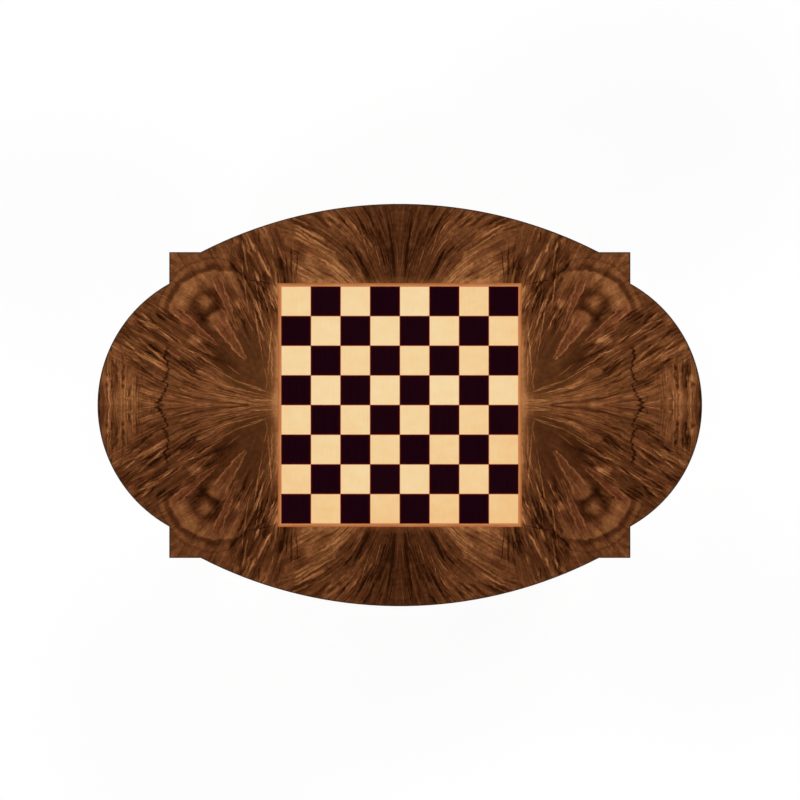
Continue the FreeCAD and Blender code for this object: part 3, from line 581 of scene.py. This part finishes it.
def check_depth(leaf):
    """1 along the jagged check that crosses the grain near the end of the table."""
    wood, u, v = leaf.wood, leaf.u, leaf.v
    stops = [(height / CHECK_LENGTH, (place, place, place, 1)) for height, place in CHECK_PATH]
    path = wood.ramp(v / CHECK_LENGTH, stops)
    teeth = wood.noise(v / 3.4, u / 60, leaf.drift + 19.4, detail=2, roughness=0.7) - 0.5
    width = 1.8 + v.step(14, 2) * 3 + leaf.mottle * 4
    return (abs(u - path - teeth * 22) / width).step(1.6, 0.3) * v.step(CHECK_LENGTH + 4, CHECK_LENGTH - 10)


def near_board(leaf):
    """About 1 at the board in the paler, plainer strips of the leaf that lie along it."""
    side = leaf.u.step(BOARD_EDGE + 15, BOARD_EDGE) * 0.55 + leaf.u.step(BOARD_EDGE + 34, BOARD_EDGE) * 0.6
    end = leaf.v.step(BOARD_EDGE + 14, BOARD_EDGE) * leaf.u.step(190, 150)
    return (side * leaf.v.step(190, 70)).at_least(end * 0.4)


def burr_veneer():
    """Walnut burr in four matched leaves."""
    wood = Finish("burr_veneer", roughness=0.26, specular=0.15)
    leaf = Leaf(wood)
    u, v = leaf.u, leaf.v
    arched = arched_share(leaf)
    bands, fine, light, dark = leaf_grain(leaf, arched)
    rings, in_rings = knot_rings(leaf)
    in_tongue, strand = pale_tongues(leaf)
    eye = wood.spot(leaf.loose, *EYE).step(0.05, 0.4)
    beside_board = near_board(leaf)
    plain = plain_tone(leaf, beside_board)
    curl = wood.noise(leaf.grain_u / 7, leaf.grain_v / 7, leaf.drift + 13.2, detail=4, roughness=0.6) - 0.5

    streaky = 1 - in_rings * 0.6 - eye * 0.7 - beside_board * 0.55 - arched * 0.15
    grain = (bands - 0.5) * (1.1 - arched * 0.6) + (fine - 0.5) * 1.05
    tone = plain + grain * streaky + leaf.mottle * 0.3 + curl * (0.34 + arched * 0.2)
    ringed = rings + plain - LEAF_TONE + (fine - 0.5) * 0.4 + leaf.mottle * 0.6 + curl * 0.4
    tone = tone.toward(ringed, in_rings * 0.85)
    quiet = plain - 0.20 + (bands - 0.5) * 0.3 + leaf.mottle * 0.25 + curl * 0.3
    tone = tone.toward(quiet, eye * 0.85)
    tone = tone + light * 0.32 * streaky - dark * 0.36 * streaky * v.step(1, 16)
    tone = tone.toward(plain - 0.20 + strand * 0.42 + curl * 0.5, in_tongue * 0.9)

    mark = wood.point(u + leaf.shake_u * 4 + leaf.jag * 0.7, v + leaf.shake_v * 4)
    broken = (fine * 0.8 + 0.5) * (1 - beside_board * 0.5)
    tone = tone + wood.streaks(mark, LIGHT_STREAKS) * 0.42 * broken
    tone = tone - wood.streaks(mark, DARK_STREAKS) * 0.42 * broken
    tone = tone - check_depth(leaf) * 0.6

    red = wood.noise(u / 16, v / 16, leaf.drift + 15.1, detail=3)
    hue = 0.506 - red * 0.016 + eye * 0.002 - in_tongue * 0.005
    wood.set(Base_Color=wood.tint(wood.ramp(tone, WALNUT_TONES), hue))
    wood.set(Roughness=0.24 + curl * 0.08 + (fine - 0.5) * 0.06)
    wood.relief(fine, VENEER_RELIEF)
    return wood.material


# The board

# The side of a square, in millimetres, and how many lie from the middle of the board to its edge
SQUARE = 50
HALF_COUNT = 4

LIGHT_SQUARE_TONES = [(0.0, srgb(239, 192, 132)), (0.5, srgb(243, 208, 153)), (1.0, srgb(245, 222, 175))]
DARK_SQUARE_TONES = [(0.0, srgb(16, 0, 6)), (0.5, srgb(25, 1, 10)), (1.0, srgb(38, 8, 15))]
STRING_TONES = [(0.0, srgb(152, 80, 40)), (0.5, srgb(184, 113, 65)), (1.0, srgb(202, 138, 86))]

# The stain of the glue in the pale wood and in the dark wood
LIGHT_STAIN = srgb(206, 112, 78)
DARK_STAIN = srgb(58, 3, 2)


def glued_edge(x, y, width):
    """1 along the joints between the squares, falling to 0 that many millimetres from them."""
    from_middle = [abs((place / SQUARE).math("FRACT") - 0.5) for place in (x, y)]
    return from_middle[0].at_least(from_middle[1]).step(0.5 - width / SQUARE, 0.5)


def light_square_wood():
    """Pale, close-grained veneer, darkened toward the board's edges and front by painted shade, each square
    cut from another place.
    """
    wood = Finish("light_square_wood", roughness=0.26, specular=0.15)
    x, y, _ = wood.place()
    column, row = x / SQUARE, y / SQUARE
    shade = wood.chance(column, row, 1.0)
    other = wood.chance(column, row, 5.0)
    cloud = wood.noise(x / 26 + other * 40, y / 18 + shade * 30, 2.0, detail=3)
    figure = wood.noise(x / 2.2 + shade * 90, y / 34 + other * 50, 3.0, detail=3, roughness=0.6)
    right, back = column / HALF_COUNT, row / HALF_COUNT
    # Painted shade: the squares darken toward the board's edges and the front, and a little toward the
    # right, as the light falls off there
    painted_falloff = right * 0.07 - back * 0.13 + right**2 * 0.21 + back**2 * 0.26
    tone = 0.68 - painted_falloff + (shade - 0.5) * 0.36 + (cloud - 0.5) * 0.6 + (figure - 0.5) * 0.4
    wood.set(Base_Color=wood.blend(wood.ramp(tone, LIGHT_SQUARE_TONES), LIGHT_STAIN, glued_edge(x, y, 1.3)))
    wood.set(Roughness=0.24 + (figure - 0.5) * 0.08)
    wood.relief(figure, SQUARE_RELIEF)
    return wood.material


def dark_square_wood():
    """Nearly black veneer with a red cast and a faint straight grain."""
    wood = Finish("dark_square_wood", roughness=0.24, specular=0.15)
    x, y, _ = wood.place()
    shade = wood.chance(x / SQUARE, y / SQUARE, 2.0)
    figure = wood.noise(x / 2.5 + shade * 70, y / 60, 6.0, detail=3, roughness=0.6)
    tone = 0.54 + (shade - 0.5) * 0.1 + (figure - 0.5) * 0.5
    wood.set(Base_Color=wood.blend(wood.ramp(tone, DARK_SQUARE_TONES), DARK_STAIN, glued_edge(x, y, 4.0)))
    wood.set(Roughness=0.22 + (figure - 0.5) * 0.08)
    wood.relief(figure, SQUARE_RELIEF)
    return wood.material


def string_wood():
    """Orange-brown strip with its grain along it, paler toward the board."""
    wood = Finish("string_wood", roughness=0.26, specular=0.15)
    x, y, _ = wood.place()
    long_x = (abs(y) - abs(x)).step(-1, 1)
    across = abs(x).toward(abs(y), long_x)
    along = y.toward(x, long_x)
    figure = wood.noise(across / 1.8, along / 26, 1.0, detail=3)
    cloud = wood.noise(x / 40, y / 40, 4.0)
    tone = 0.52 + (203 - across) * 0.13 + (figure - 0.5) * 0.8 + (cloud - 0.5) * 0.6
    wood.set(Base_Color=wood.ramp(tone, STRING_TONES))
    wood.set(Roughness=0.24 + (figure - 0.5) * 0.08)
    wood.relief(figure, SQUARE_RELIEF)
    return wood.material


# Solid woods, cloth, steel and nylon

SOLID_WALNUT_TONES = [
    (0.00, srgb(34, 15, 6)),
    (0.25, srgb(58, 30, 13)),
    (0.50, srgb(80, 45, 22)),
    (0.75, srgb(103, 62, 33)),
    (1.00, srgb(134, 86, 49)),
]
LIPPING_TONES = [(0.0, srgb(26, 12, 5)), (0.5, srgb(48, 26, 12)), (1.0, srgb(76, 45, 23))]
KNOB_TONES = [(0.0, srgb(20, 9, 4)), (0.5, srgb(40, 20, 9)), (1.0, srgb(66, 36, 17))]
BEECH_TONES = [(0.0, srgb(158, 116, 74)), (0.5, srgb(190, 148, 102)), (1.0, srgb(208, 172, 128))]
OAK_TONES = [(0.0, srgb(146, 104, 60)), (0.5, srgb(188, 146, 94)), (1.0, srgb(212, 176, 126))]
STEEL_TONES = [(0.2, srgb(104, 98, 90)), (0.6, srgb(168, 164, 158)), (1.0, srgb(198, 195, 190))]
NYLON_TONES = [(0.2, srgb(32, 24, 20)), (0.55, srgb(56, 45, 38)), (0.9, srgb(110, 100, 90))]
BAIZE_TONES = [(0.0, srgb(8, 46, 27)), (0.5, srgb(18, 82, 48)), (1.0, srgb(48, 122, 78))]
PLY_TONES = [(0.0, srgb(176, 132, 84)), (0.5, srgb(206, 166, 116)), (1.0, srgb(222, 188, 142))]


def solid_wood(name, axis, tones, roughness=0.36, specular=0.35, figure=1.0, wear=0.12):
    """Sawn wood: growth rings along one axis that bend on the way, pores, and edges rubbed paler."""
    wood = Finish(name, roughness=roughness, specular=specular)
    places = wood.place()
    along = places.pop(axis)
    first, second = places
    bend = wood.noise(first / 70, second / 70, along / 240, detail=2) - 0.5
    rings = ((first + 40) ** 2 + (second + 25) ** 2) ** 0.5 + bend * 36 * figure
    bands = wood.noise(rings / 10, along / 420, 1.0, detail=3)
    fine = wood.noise(rings / 2.2, along / 120, 2.0, detail=3, roughness=0.6)
    pores = wood.noise(rings / 0.8, along / 8, 3.0, detail=1).step(0.64, 0.72)
    cloud = wood.noise(first / 90, second / 90, along / 160, detail=2)
    eased = wood.soft_edges(EASED_EDGE)
    rubbed = wood.edge_wear(eased).step(0.02, 0.25) * cloud.step(0.35, 0.65)
    tone = 0.5 + (bands - 0.5) * 0.85 + (fine - 0.5) * 0.55 + (cloud - 0.5) * 0.4
    tone = tone - pores * 0.14 + rubbed * wear
    wood.set(Base_Color=wood.ramp(tone, tones))
    wood.set(Roughness=roughness + (fine - 0.5) * 0.16 + pores * 0.1)
    wood.relief(fine * 0.6 - pores, SAWN_RELIEF, eased)
    return wood.material


def core_lamination():
    """Edge-glued strips, each with its own shade."""
    wood = Finish("core_lamination", roughness=0.6, specular=0.3)
    x, y, _ = wood.place()
    strip = wood.chance(y / 42, 1.0, 1.0)
    fine = wood.noise(y / 2.6, x / 140, strip * 20, detail=3, roughness=0.6)
    bands = wood.noise(y / 12, x / 400, strip * 30, detail=2)
    tone = 0.5 + (strip - 0.5) * 0.4 + (fine - 0.5) * 0.5 + (bands - 0.5) * 0.6
    wood.set(Base_Color=wood.ramp(tone, BEECH_TONES))
    wood.relief(fine, SAWN_RELIEF)
    return wood.material


def baize_cloth():
    """Green woollen baize: a short felted nap, thin in places."""
    wool = Finish("baize_cloth", roughness=0.95, specular=0.1)
    x, y, _ = wool.place()
    nap = wool.noise(x / 0.8, y / 0.8, 1.0, detail=3, roughness=0.7)
    fibre = wool.ridge(x / 1.6, y / 5.0, 5.0, detail=2).step(0.8, 1.0)
    cloud = wool.noise(x / 45, y / 45, 2.0, detail=3)
    tone = 0.45 + (nap - 0.5) * 0.8 + (cloud - 0.5) * 0.5 + fibre * 0.12
    wool.set(Base_Color=wool.ramp(tone, BAIZE_TONES))
    wool.set(Sheen_Weight=0.2, Sheen_Roughness=0.5)
    wool.relief(nap + fibre * 0.5, NAP_RELIEF)
    return wool.material


def screw_steel():
    """Plain steel with turning marks and a little tarnish."""
    steel = Finish("screw_steel", roughness=0.35)
    x, y, z = steel.place()
    tarnish = steel.noise(x / 2.5, y / 2.5, z / 2.5, detail=4)
    marks = steel.noise(x / 0.25, y / 0.25, z / 0.25, detail=2)
    steel.set(Base_Color=steel.ramp(tarnish + (marks - 0.5) * 0.2, STEEL_TONES))
    steel.set(Roughness=0.5 - tarnish * 0.3)
    steel.set(Metallic=1.0)
    steel.relief(marks, STEEL_RELIEF)
    return steel.material


def glide_nylon():
    """Dark moulded nylon, scuffed grey underneath where it slides."""
    nylon = Finish("glide_nylon", roughness=0.5)
    x, y, z = nylon.place()
    scuff = nylon.noise(x / 1.2, y / 4.0, z / 1.5, detail=4, roughness=0.7)
    low = z.step(2.5, 0.2)
    tone = scuff * (0.6 + low * 0.5)
    nylon.set(Base_Color=nylon.ramp(tone, NYLON_TONES))
    nylon.set(Roughness=0.42 + scuff * 0.25)
    nylon.relief(scuff, NYLON_RELIEF)
    return nylon.material


def finish_nodes():
    """Gives every CAD node the finish of its kind, found by the start of its name."""
    axes = list(enumerate("xyz"))
    level = axes[:2]
    walnut = [solid_wood(f"solid_walnut_{n}", axis, SOLID_WALNUT_TONES, specular=0.2) for axis, n in axes]
    lipping = [solid_wood(f"lipping_{n}", axis, LIPPING_TONES, 0.4, 0.15, figure=0.4) for axis, n in level]
    beech = [solid_wood(f"frame_beech_{n}", axis, BEECH_TONES, 0.6, wear=0.0) for axis, n in level]
    oak = [solid_wood(f"drawer_oak_{n}", axis, OAK_TONES, 0.5, wear=0.05) for axis, n in level]
    backing = solid_wood("backing_walnut", 0, SOLID_WALNUT_TONES, 0.5, figure=2.0, wear=0.0)
    ply = solid_wood("drawer_bottom_ply", 0, PLY_TONES, 0.55, figure=1.6, wear=0.0)
    turned = solid_wood("turned_knob", 1, KNOB_TONES, 0.25, specular=0.5)
    cloth = baize_cloth()
    finishes = {
        "top_core": core_lamination(),
        "backing_veneer": backing,
        "veneer_": burr_veneer(),
        "string_": string_wood(),
        "light_squares": light_square_wood(),
        "dark_squares": dark_square_wood(),
        "end_lipping_": lipping[1],
        "side_lipping_": lipping[0],
        "corner_lipping_": lipping[0],
        "leg_": walnut[2],
        "foot_glides": glide_nylon(),
        "end_apron_": walnut[1],
        "drawer_runner_": beech[1],
        "drawer_kicker_": beech[1],
        "drawer_stop_rail": beech[0],
        "fixing_blocks": beech[0],
        "top_screws": screw_steel(),
    }
    for side in SIDES:
        finishes[f"{side}_top_rail"] = walnut[0]
        finishes[f"{side}_bottom_rail"] = walnut[0]
        finishes[f"{side}_apron_"] = walnut[0]
        finishes[f"{side}_drawer_face"] = walnut[0]
        finishes[f"{side}_drawer_left_side"] = oak[1]
        finishes[f"{side}_drawer_right_side"] = oak[1]
        finishes[f"{side}_drawer_back"] = oak[0]
        finishes[f"{side}_drawer_bottom"] = ply
        finishes[f"{side}_drawer_knob"] = turned
        finishes[f"{side}_drawer_baize"] = cloth
    for name, node in NODES.items():
        finish = next(finish for start, finish in finishes.items() if name.startswith(start))
        node.data.materials.clear()
        node.data.materials.append(finish)
    return finishes


# Pieces made here: the baize linings and the slotted screws


def bake(piece):
    """Turns a piece's modifiers into its plain mesh."""
    bpy.context.view_layer.update()
    evaluated = piece.evaluated_get(bpy.context.evaluated_depsgraph_get())
    mesh = bpy.data.meshes.new_from_object(evaluated)
    piece.modifiers.clear()
    piece.data = mesh


def add_piece(name, mesh):
    """A new object in the scene."""
    piece = bpy.data.objects.new(name, mesh)
    bpy.context.scene.collection.objects.link(piece)
    return piece


# The cloth's cutting gap and thickness
BAIZE_GAP = 0.0004
BAIZE_THICKNESS = 0.0009
BAIZE_CELLS = (96, 68)

# The cloth's uneven top and edge: how high, and how many swells to a metre
SWELL_HEIGHT = 0.00012
SWELLS = 45
FRAY_DEPTH = 0.00012
FRAYS = 400

# How far the cloth's top lies below the CAD solid's, and how much further it sinks toward its cut edge
TOP_CLEARANCE = 0.00015
EDGE_SINK = 0.00022
EDGE_REACH = 0.004
BOTTOM_CLEARANCE = 0.00002


def lay_baize(side, cloth):
    """A sheet of baize on a drawer's bottom, not quite flat, with a soft cut edge."""
    low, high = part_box(f"{side}_drawer_baize")
    width, length = high.x - low.x - BAIZE_GAP * 2, high.y - low.y - BAIZE_GAP * 2
    middle = (low + high) / 2
    bm = bmesh.new()
    bmesh.ops.create_grid(bm, x_segments=BAIZE_CELLS[0], y_segments=BAIZE_CELLS[1], size=0.5)
    for vertex in bm.verts:
        x, y = vertex.co.x * width, vertex.co.y * length
        from_edge = min(width / 2 - abs(x), length / 2 - abs(y))
        swell = noise.noise(Vector((x, y, 0.3)) * SWELLS) * SWELL_HEIGHT
        fray = noise.noise(Vector((x, y, 7.1)) * FRAYS) * FRAY_DEPTH
        sink = max(0.0, 1 - from_edge / EDGE_REACH) * EDGE_SINK
        vertex.co = (x + middle.x + fray, y + middle.y + fray, high.z - TOP_CLEARANCE + swell - sink)
    mesh = bpy.data.meshes.new(f"{side}_baize")
    bm.to_mesh(mesh)
    bm.free()
    upper_points = len(mesh.vertices)
    sheet = add_piece(f"{side}_baize", mesh)
    solid = sheet.modifiers.new("thickness", "SOLIDIFY")
    solid.thickness = BAIZE_THICKNESS
    solid.offset = -1
    bake(sheet)
    for vertex in sheet.data.vertices[upper_points:]:
        vertex.co.z = low.z + BOTTOM_CLEARANCE
    sheet.data.materials.append(cloth)
    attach(sheet, f"{side}_drawer")
    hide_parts(f"{side}_drawer_baize")


# Sizes of a screw, besides its head's radius and its length, which the CAD node gives
SCREW_SIZES = {
    "head_depth": 0.0025,
    "shank_radius": 0.0019,
    "tip_length": 0.004,
    "slot_width": 0.0011,
    "slot_depth": 0.0012,
}
SCREW_SIDES = 32
SCREW_SPACING = 0.02
SLOT_OVERRUN_SHARE = 2.6
TIP_SHARE = 0.1
TURN_SEED = 4


def screw_places(name):
    """Where the face of each screw's head lies in a node, the head's radius and the screw's length."""
    screws = []
    for vertex in NODES[name].data.vertices:
        near = next((s for s in screws if (s[0].xy - vertex.co.xy).length < SCREW_SPACING), None)
        if near:
            near.append(vertex.co)
        else:
            screws.append([vertex.co])
    places = []
    for points in screws:
        low = Vector(min(point[i] for point in points) for i in range(3))
        high = Vector(max(point[i] for point in points) for i in range(3))
        places.append(((low.x + high.x) / 2, (low.y + high.y) / 2, low.z))
    return places, (high.x - low.x) / 2, high.z - low.z


class ScrewTree:
    """Geometry nodes for slotted countersunk screws, one on each point, each turned as it stopped."""

    def __init__(self, sizes, finish):
        self.tree = bpy.data.node_groups.new("slotted_screws", "GeometryNodeTree")
        self.tree.interface.new_socket("places", in_out="INPUT", socket_type="NodeSocketGeometry")
        for name in sizes:
            self.tree.interface.new_socket(name, in_out="INPUT", socket_type="NodeSocketFloat")
        self.tree.interface.new_socket("screws", in_out="OUTPUT", socket_type="NodeSocketGeometry")
        self.given = self.tree.nodes.new("NodeGroupInput").outputs
        self.stand_screws(self.cut_slot(self.turned_blank()), finish)

    def add(self, kind, values, **settings):
        node = self.tree.nodes.new(kind)
        for name, value in settings.items():
            setattr(node, name, value)
        for socket, value in values.items():
            if isinstance(value, bpy.types.NodeSocket):
                self.tree.links.new(value, node.inputs[socket])
            else:
                node.inputs[socket].default_value = value
        return node

    def work_out(self, first, operation, second):
        return self.add("ShaderNodeMath", {0: first, 1: second}, operation=operation).outputs[0]

    def cone(self, top, bottom, depth):
        values = {"Vertices": SCREW_SIDES, "Radius Top": top, "Radius Bottom": bottom, "Depth": depth}
        return self.add("GeometryNodeMeshCone", values).outputs["Mesh"]

    def raised(self, piece, height):
        up = self.add("ShaderNodeCombineXYZ", {2: height}).outputs[0]
        return self.add("GeometryNodeTransform", {"Geometry": piece, "Translation": up}).outputs["Geometry"]

    def turned_blank(self):
        """The screw before its slot is cut: a tapered head, a shank and a tip."""
        radius, tip_length = self.given["shank_radius"], self.given["tip_length"]
        to_tip = self.work_out(self.given["length"], "SUBTRACT", tip_length)
        head = self.cone(radius, self.given["head_radius"], self.given["head_depth"])
        shank_sizes = {"Vertices": SCREW_SIDES, "Radius": radius, "Depth": to_tip}
        shank = self.add("GeometryNodeMeshCylinder", shank_sizes).outputs["Mesh"]
        tip = self.cone(self.work_out(radius, "MULTIPLY", TIP_SHARE), radius, tip_length)
        whole = self.add("GeometryNodeMeshBoolean", {}, operation="UNION", solver="EXACT")
        raised_shank = self.raised(shank, self.work_out(to_tip, "MULTIPLY", 0.5))
        for piece in (head, raised_shank, self.raised(tip, to_tip)):
            self.tree.links.new(piece, whole.inputs["Mesh 2"])
        return whole.outputs["Mesh"]

    def cut_slot(self, blank):
        """The slot across the head's face."""
        reach = self.work_out(self.given["head_radius"], "MULTIPLY", SLOT_OVERRUN_SHARE)
        depth = self.work_out(self.given["slot_depth"], "MULTIPLY", 2.0)
        size = self.add("ShaderNodeCombineXYZ", {0: reach, 1: self.given["slot_width"], 2: depth})
        cutter = self.add("GeometryNodeMeshCube", {"Size": size.outputs[0]}).outputs["Mesh"]
        values = {"Mesh 1": blank, "Mesh 2": cutter}
        slotted = self.add("GeometryNodeMeshBoolean", values, operation="DIFFERENCE", solver="EXACT")
        return slotted.outputs["Mesh"]

    def stand_screws(self, screw, finish):
        """One screw on each point, as one mesh with its finish."""
        turn = self.add("FunctionNodeRandomValue", {"Seed": TURN_SEED}, data_type="FLOAT_VECTOR")
        turn.inputs["Min"].default_value = (0, 0, 0)
        turn.inputs["Max"].default_value = (0, 0, math.pi)
        values = {"Points": self.given["places"], "Instance": screw, "Rotation": turn.outputs["Value"]}
        placed = self.add("GeometryNodeInstanceOnPoints", values).outputs["Instances"]
        real = self.add("GeometryNodeRealizeInstances", {"Geometry": placed}).outputs["Geometry"]
        painted = self.add("GeometryNodeSetMaterial", {"Geometry": real, "Material": finish})
        out = self.tree.nodes.new("NodeGroupOutput")
        self.tree.links.new(painted.outputs["Geometry"], out.inputs["screws"])


def drive_screws(finish):
    """The screws that hold the top down, seen from below in their countersinks."""
    places, head_radius, length = screw_places("top_screws")
    sizes = {"head_radius": head_radius, "length": length, **SCREW_SIZES}
    mesh = bpy.data.meshes.new("slotted_screws")
    mesh.from_pydata(places, [], [])
    screws = add_piece("slotted_screws", mesh)
    modifier = screws.modifiers.new("slotted_screws", "NODES")
    modifier.node_group = ScrewTree(sizes, finish).tree
    for item in modifier.node_group.interface.items_tree:
        if item.name in sizes:
            modifier[item.identifier] = sizes[item.name]
    bake(screws)
    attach(screws, "table")
    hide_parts("top_screws")


# Floor, light and camera

FLOOR_HALF_WIDTH = 12
FLOOR_DROP = 0.0005
FLOOR_GREY = (0.86, 0.86, 0.86, 1.0)
FLOOR_GLOW = 1.07
GLOW_SHARE = 0.75

# The world is white up to the lower of these heights, given as sines, and dark above the higher
WHITE_TO = 0.12
DARK_FROM = 0.5
CEILING_STRENGTH = 0.02

# Each lamp's direction round the table, in degrees, and its strength
LAMPS = {
    "key_light": (-40, 1.19),
    "fill_light": (60, 0.96),
    "back_light": (150, 1.11),
    "side_light": (-130, 0.96),
}
LAMP_ELEVATION = 42
LAMP_SPREAD = 35


def make_floor():
    """A wide pale floor that shows nearly white from above and keeps a soft shadow of the table."""
    size = FLOOR_HALF_WIDTH
    mesh = bpy.data.meshes.new("floor")
    corners = [(-size, -size), (size, -size), (size, size), (-size, size)]
    mesh.from_pydata([(x, y, -FLOOR_DROP) for x, y in corners], [], [(0, 1, 2, 3)])
    floor = add_piece("floor", mesh)
    paint = Finish("floor_paint", roughness=0.9, specular=0.0)
    paint.set(Base_Color=FLOOR_GREY)
    path = paint.add("ShaderNodeLightPath", {})
    seen = Field(paint, path.outputs["Is Camera Ray"])
    for name in ("Is Glossy Ray", "Is Transmission Ray"):
        seen = seen.at_least(Field(paint, path.outputs[name]))
    glow = paint.add("ShaderNodeEmission", {"Strength": FLOOR_GLOW})
    upper = paint.add("ShaderNodeMixShader", {0: seen * GLOW_SHARE})
    face = paint.add("ShaderNodeNewGeometry", {})
    clear = paint.add("ShaderNodeBsdfTransparent", {})
    sided = paint.add("ShaderNodeMixShader", {0: Field(paint, face.outputs["Backfacing"])})
    links = paint.tree.links
    links.new(paint.shader.outputs[0], upper.inputs[1])
    links.new(glow.outputs[0], upper.inputs[2])
    links.new(upper.outputs[0], sided.inputs[1])
    links.new(clear.outputs[0], sided.inputs[2])
    links.new(sided.outputs[0], paint.tree.nodes["Material Output"].inputs["Surface"])
    mesh.materials.append(paint.material)


def make_world():
    """White all round, with a dark ceiling so that the polished top reflects nothing bright."""
    world = bpy.data.worlds.new("studio")
    bpy.context.scene.world = world
    world.use_nodes = True
    nodes, links = world.node_tree.nodes, world.node_tree.links
    place = nodes.new("ShaderNodeTexCoord")
    parts = nodes.new("ShaderNodeSeparateXYZ")
    links.new(place.outputs["Generated"], parts.inputs[0])
    height = nodes.new("ShaderNodeMapRange")
    height.interpolation_type = "SMOOTHSTEP"
    for socket, value in zip(height.inputs[1:5], (WHITE_TO, DARK_FROM, 1.0, CEILING_STRENGTH)):
        socket.default_value = value
    links.new(parts.outputs["Z"], height.inputs[0])
    links.new(height.outputs[0], nodes["Background"].inputs["Strength"])
    nodes["Background"].inputs["Color"].default_value = (1.0, 1.0, 1.0, 1.0)


def make_lamps():
    """Four wide, soft lamps all round, at the same height."""
    elevation = math.radians(LAMP_ELEVATION)
    for name, (azimuth, strength) in LAMPS.items():
        lamp = bpy.data.lights.new(name, "SUN")
        lamp.energy = strength
        lamp.angle = math.radians(LAMP_SPREAD)
        around = math.radians(azimuth)
        level = math.cos(elevation)
        toward_lamp = Vector((math.sin(around) * level, -math.cos(around) * level, math.sin(elevation)))
        add_piece(name, lamp).rotation_euler = toward_lamp.to_track_quat("Z", "Y").to_euler()


def make_camera():
    """Straight above the top, with the photograph's scale and framing."""
    camera = bpy.data.cameras.new("camera")
    camera.lens = CAMERA_LENS
    camera.sensor_width = CAMERA_SENSOR
    camera.clip_end = CAMERA_REACH
    holder = add_piece("camera", camera)
    height = PICTURE_SIDE * CAMERA_LENS / CAMERA_SENSOR
    holder.location = (*PICTURE_MIDDLE, cad_box[1].z + height)
    bpy.context.scene.camera = holder


bpy.context.scene.view_settings.view_transform = "Standard"
finishes = finish_nodes()
for side in SIDES:
    lay_baize(side, finishes[f"{side}_drawer_baize"])
drive_screws(finishes["top_screws"])
make_floor()
make_world()
make_lamps()
make_camera()
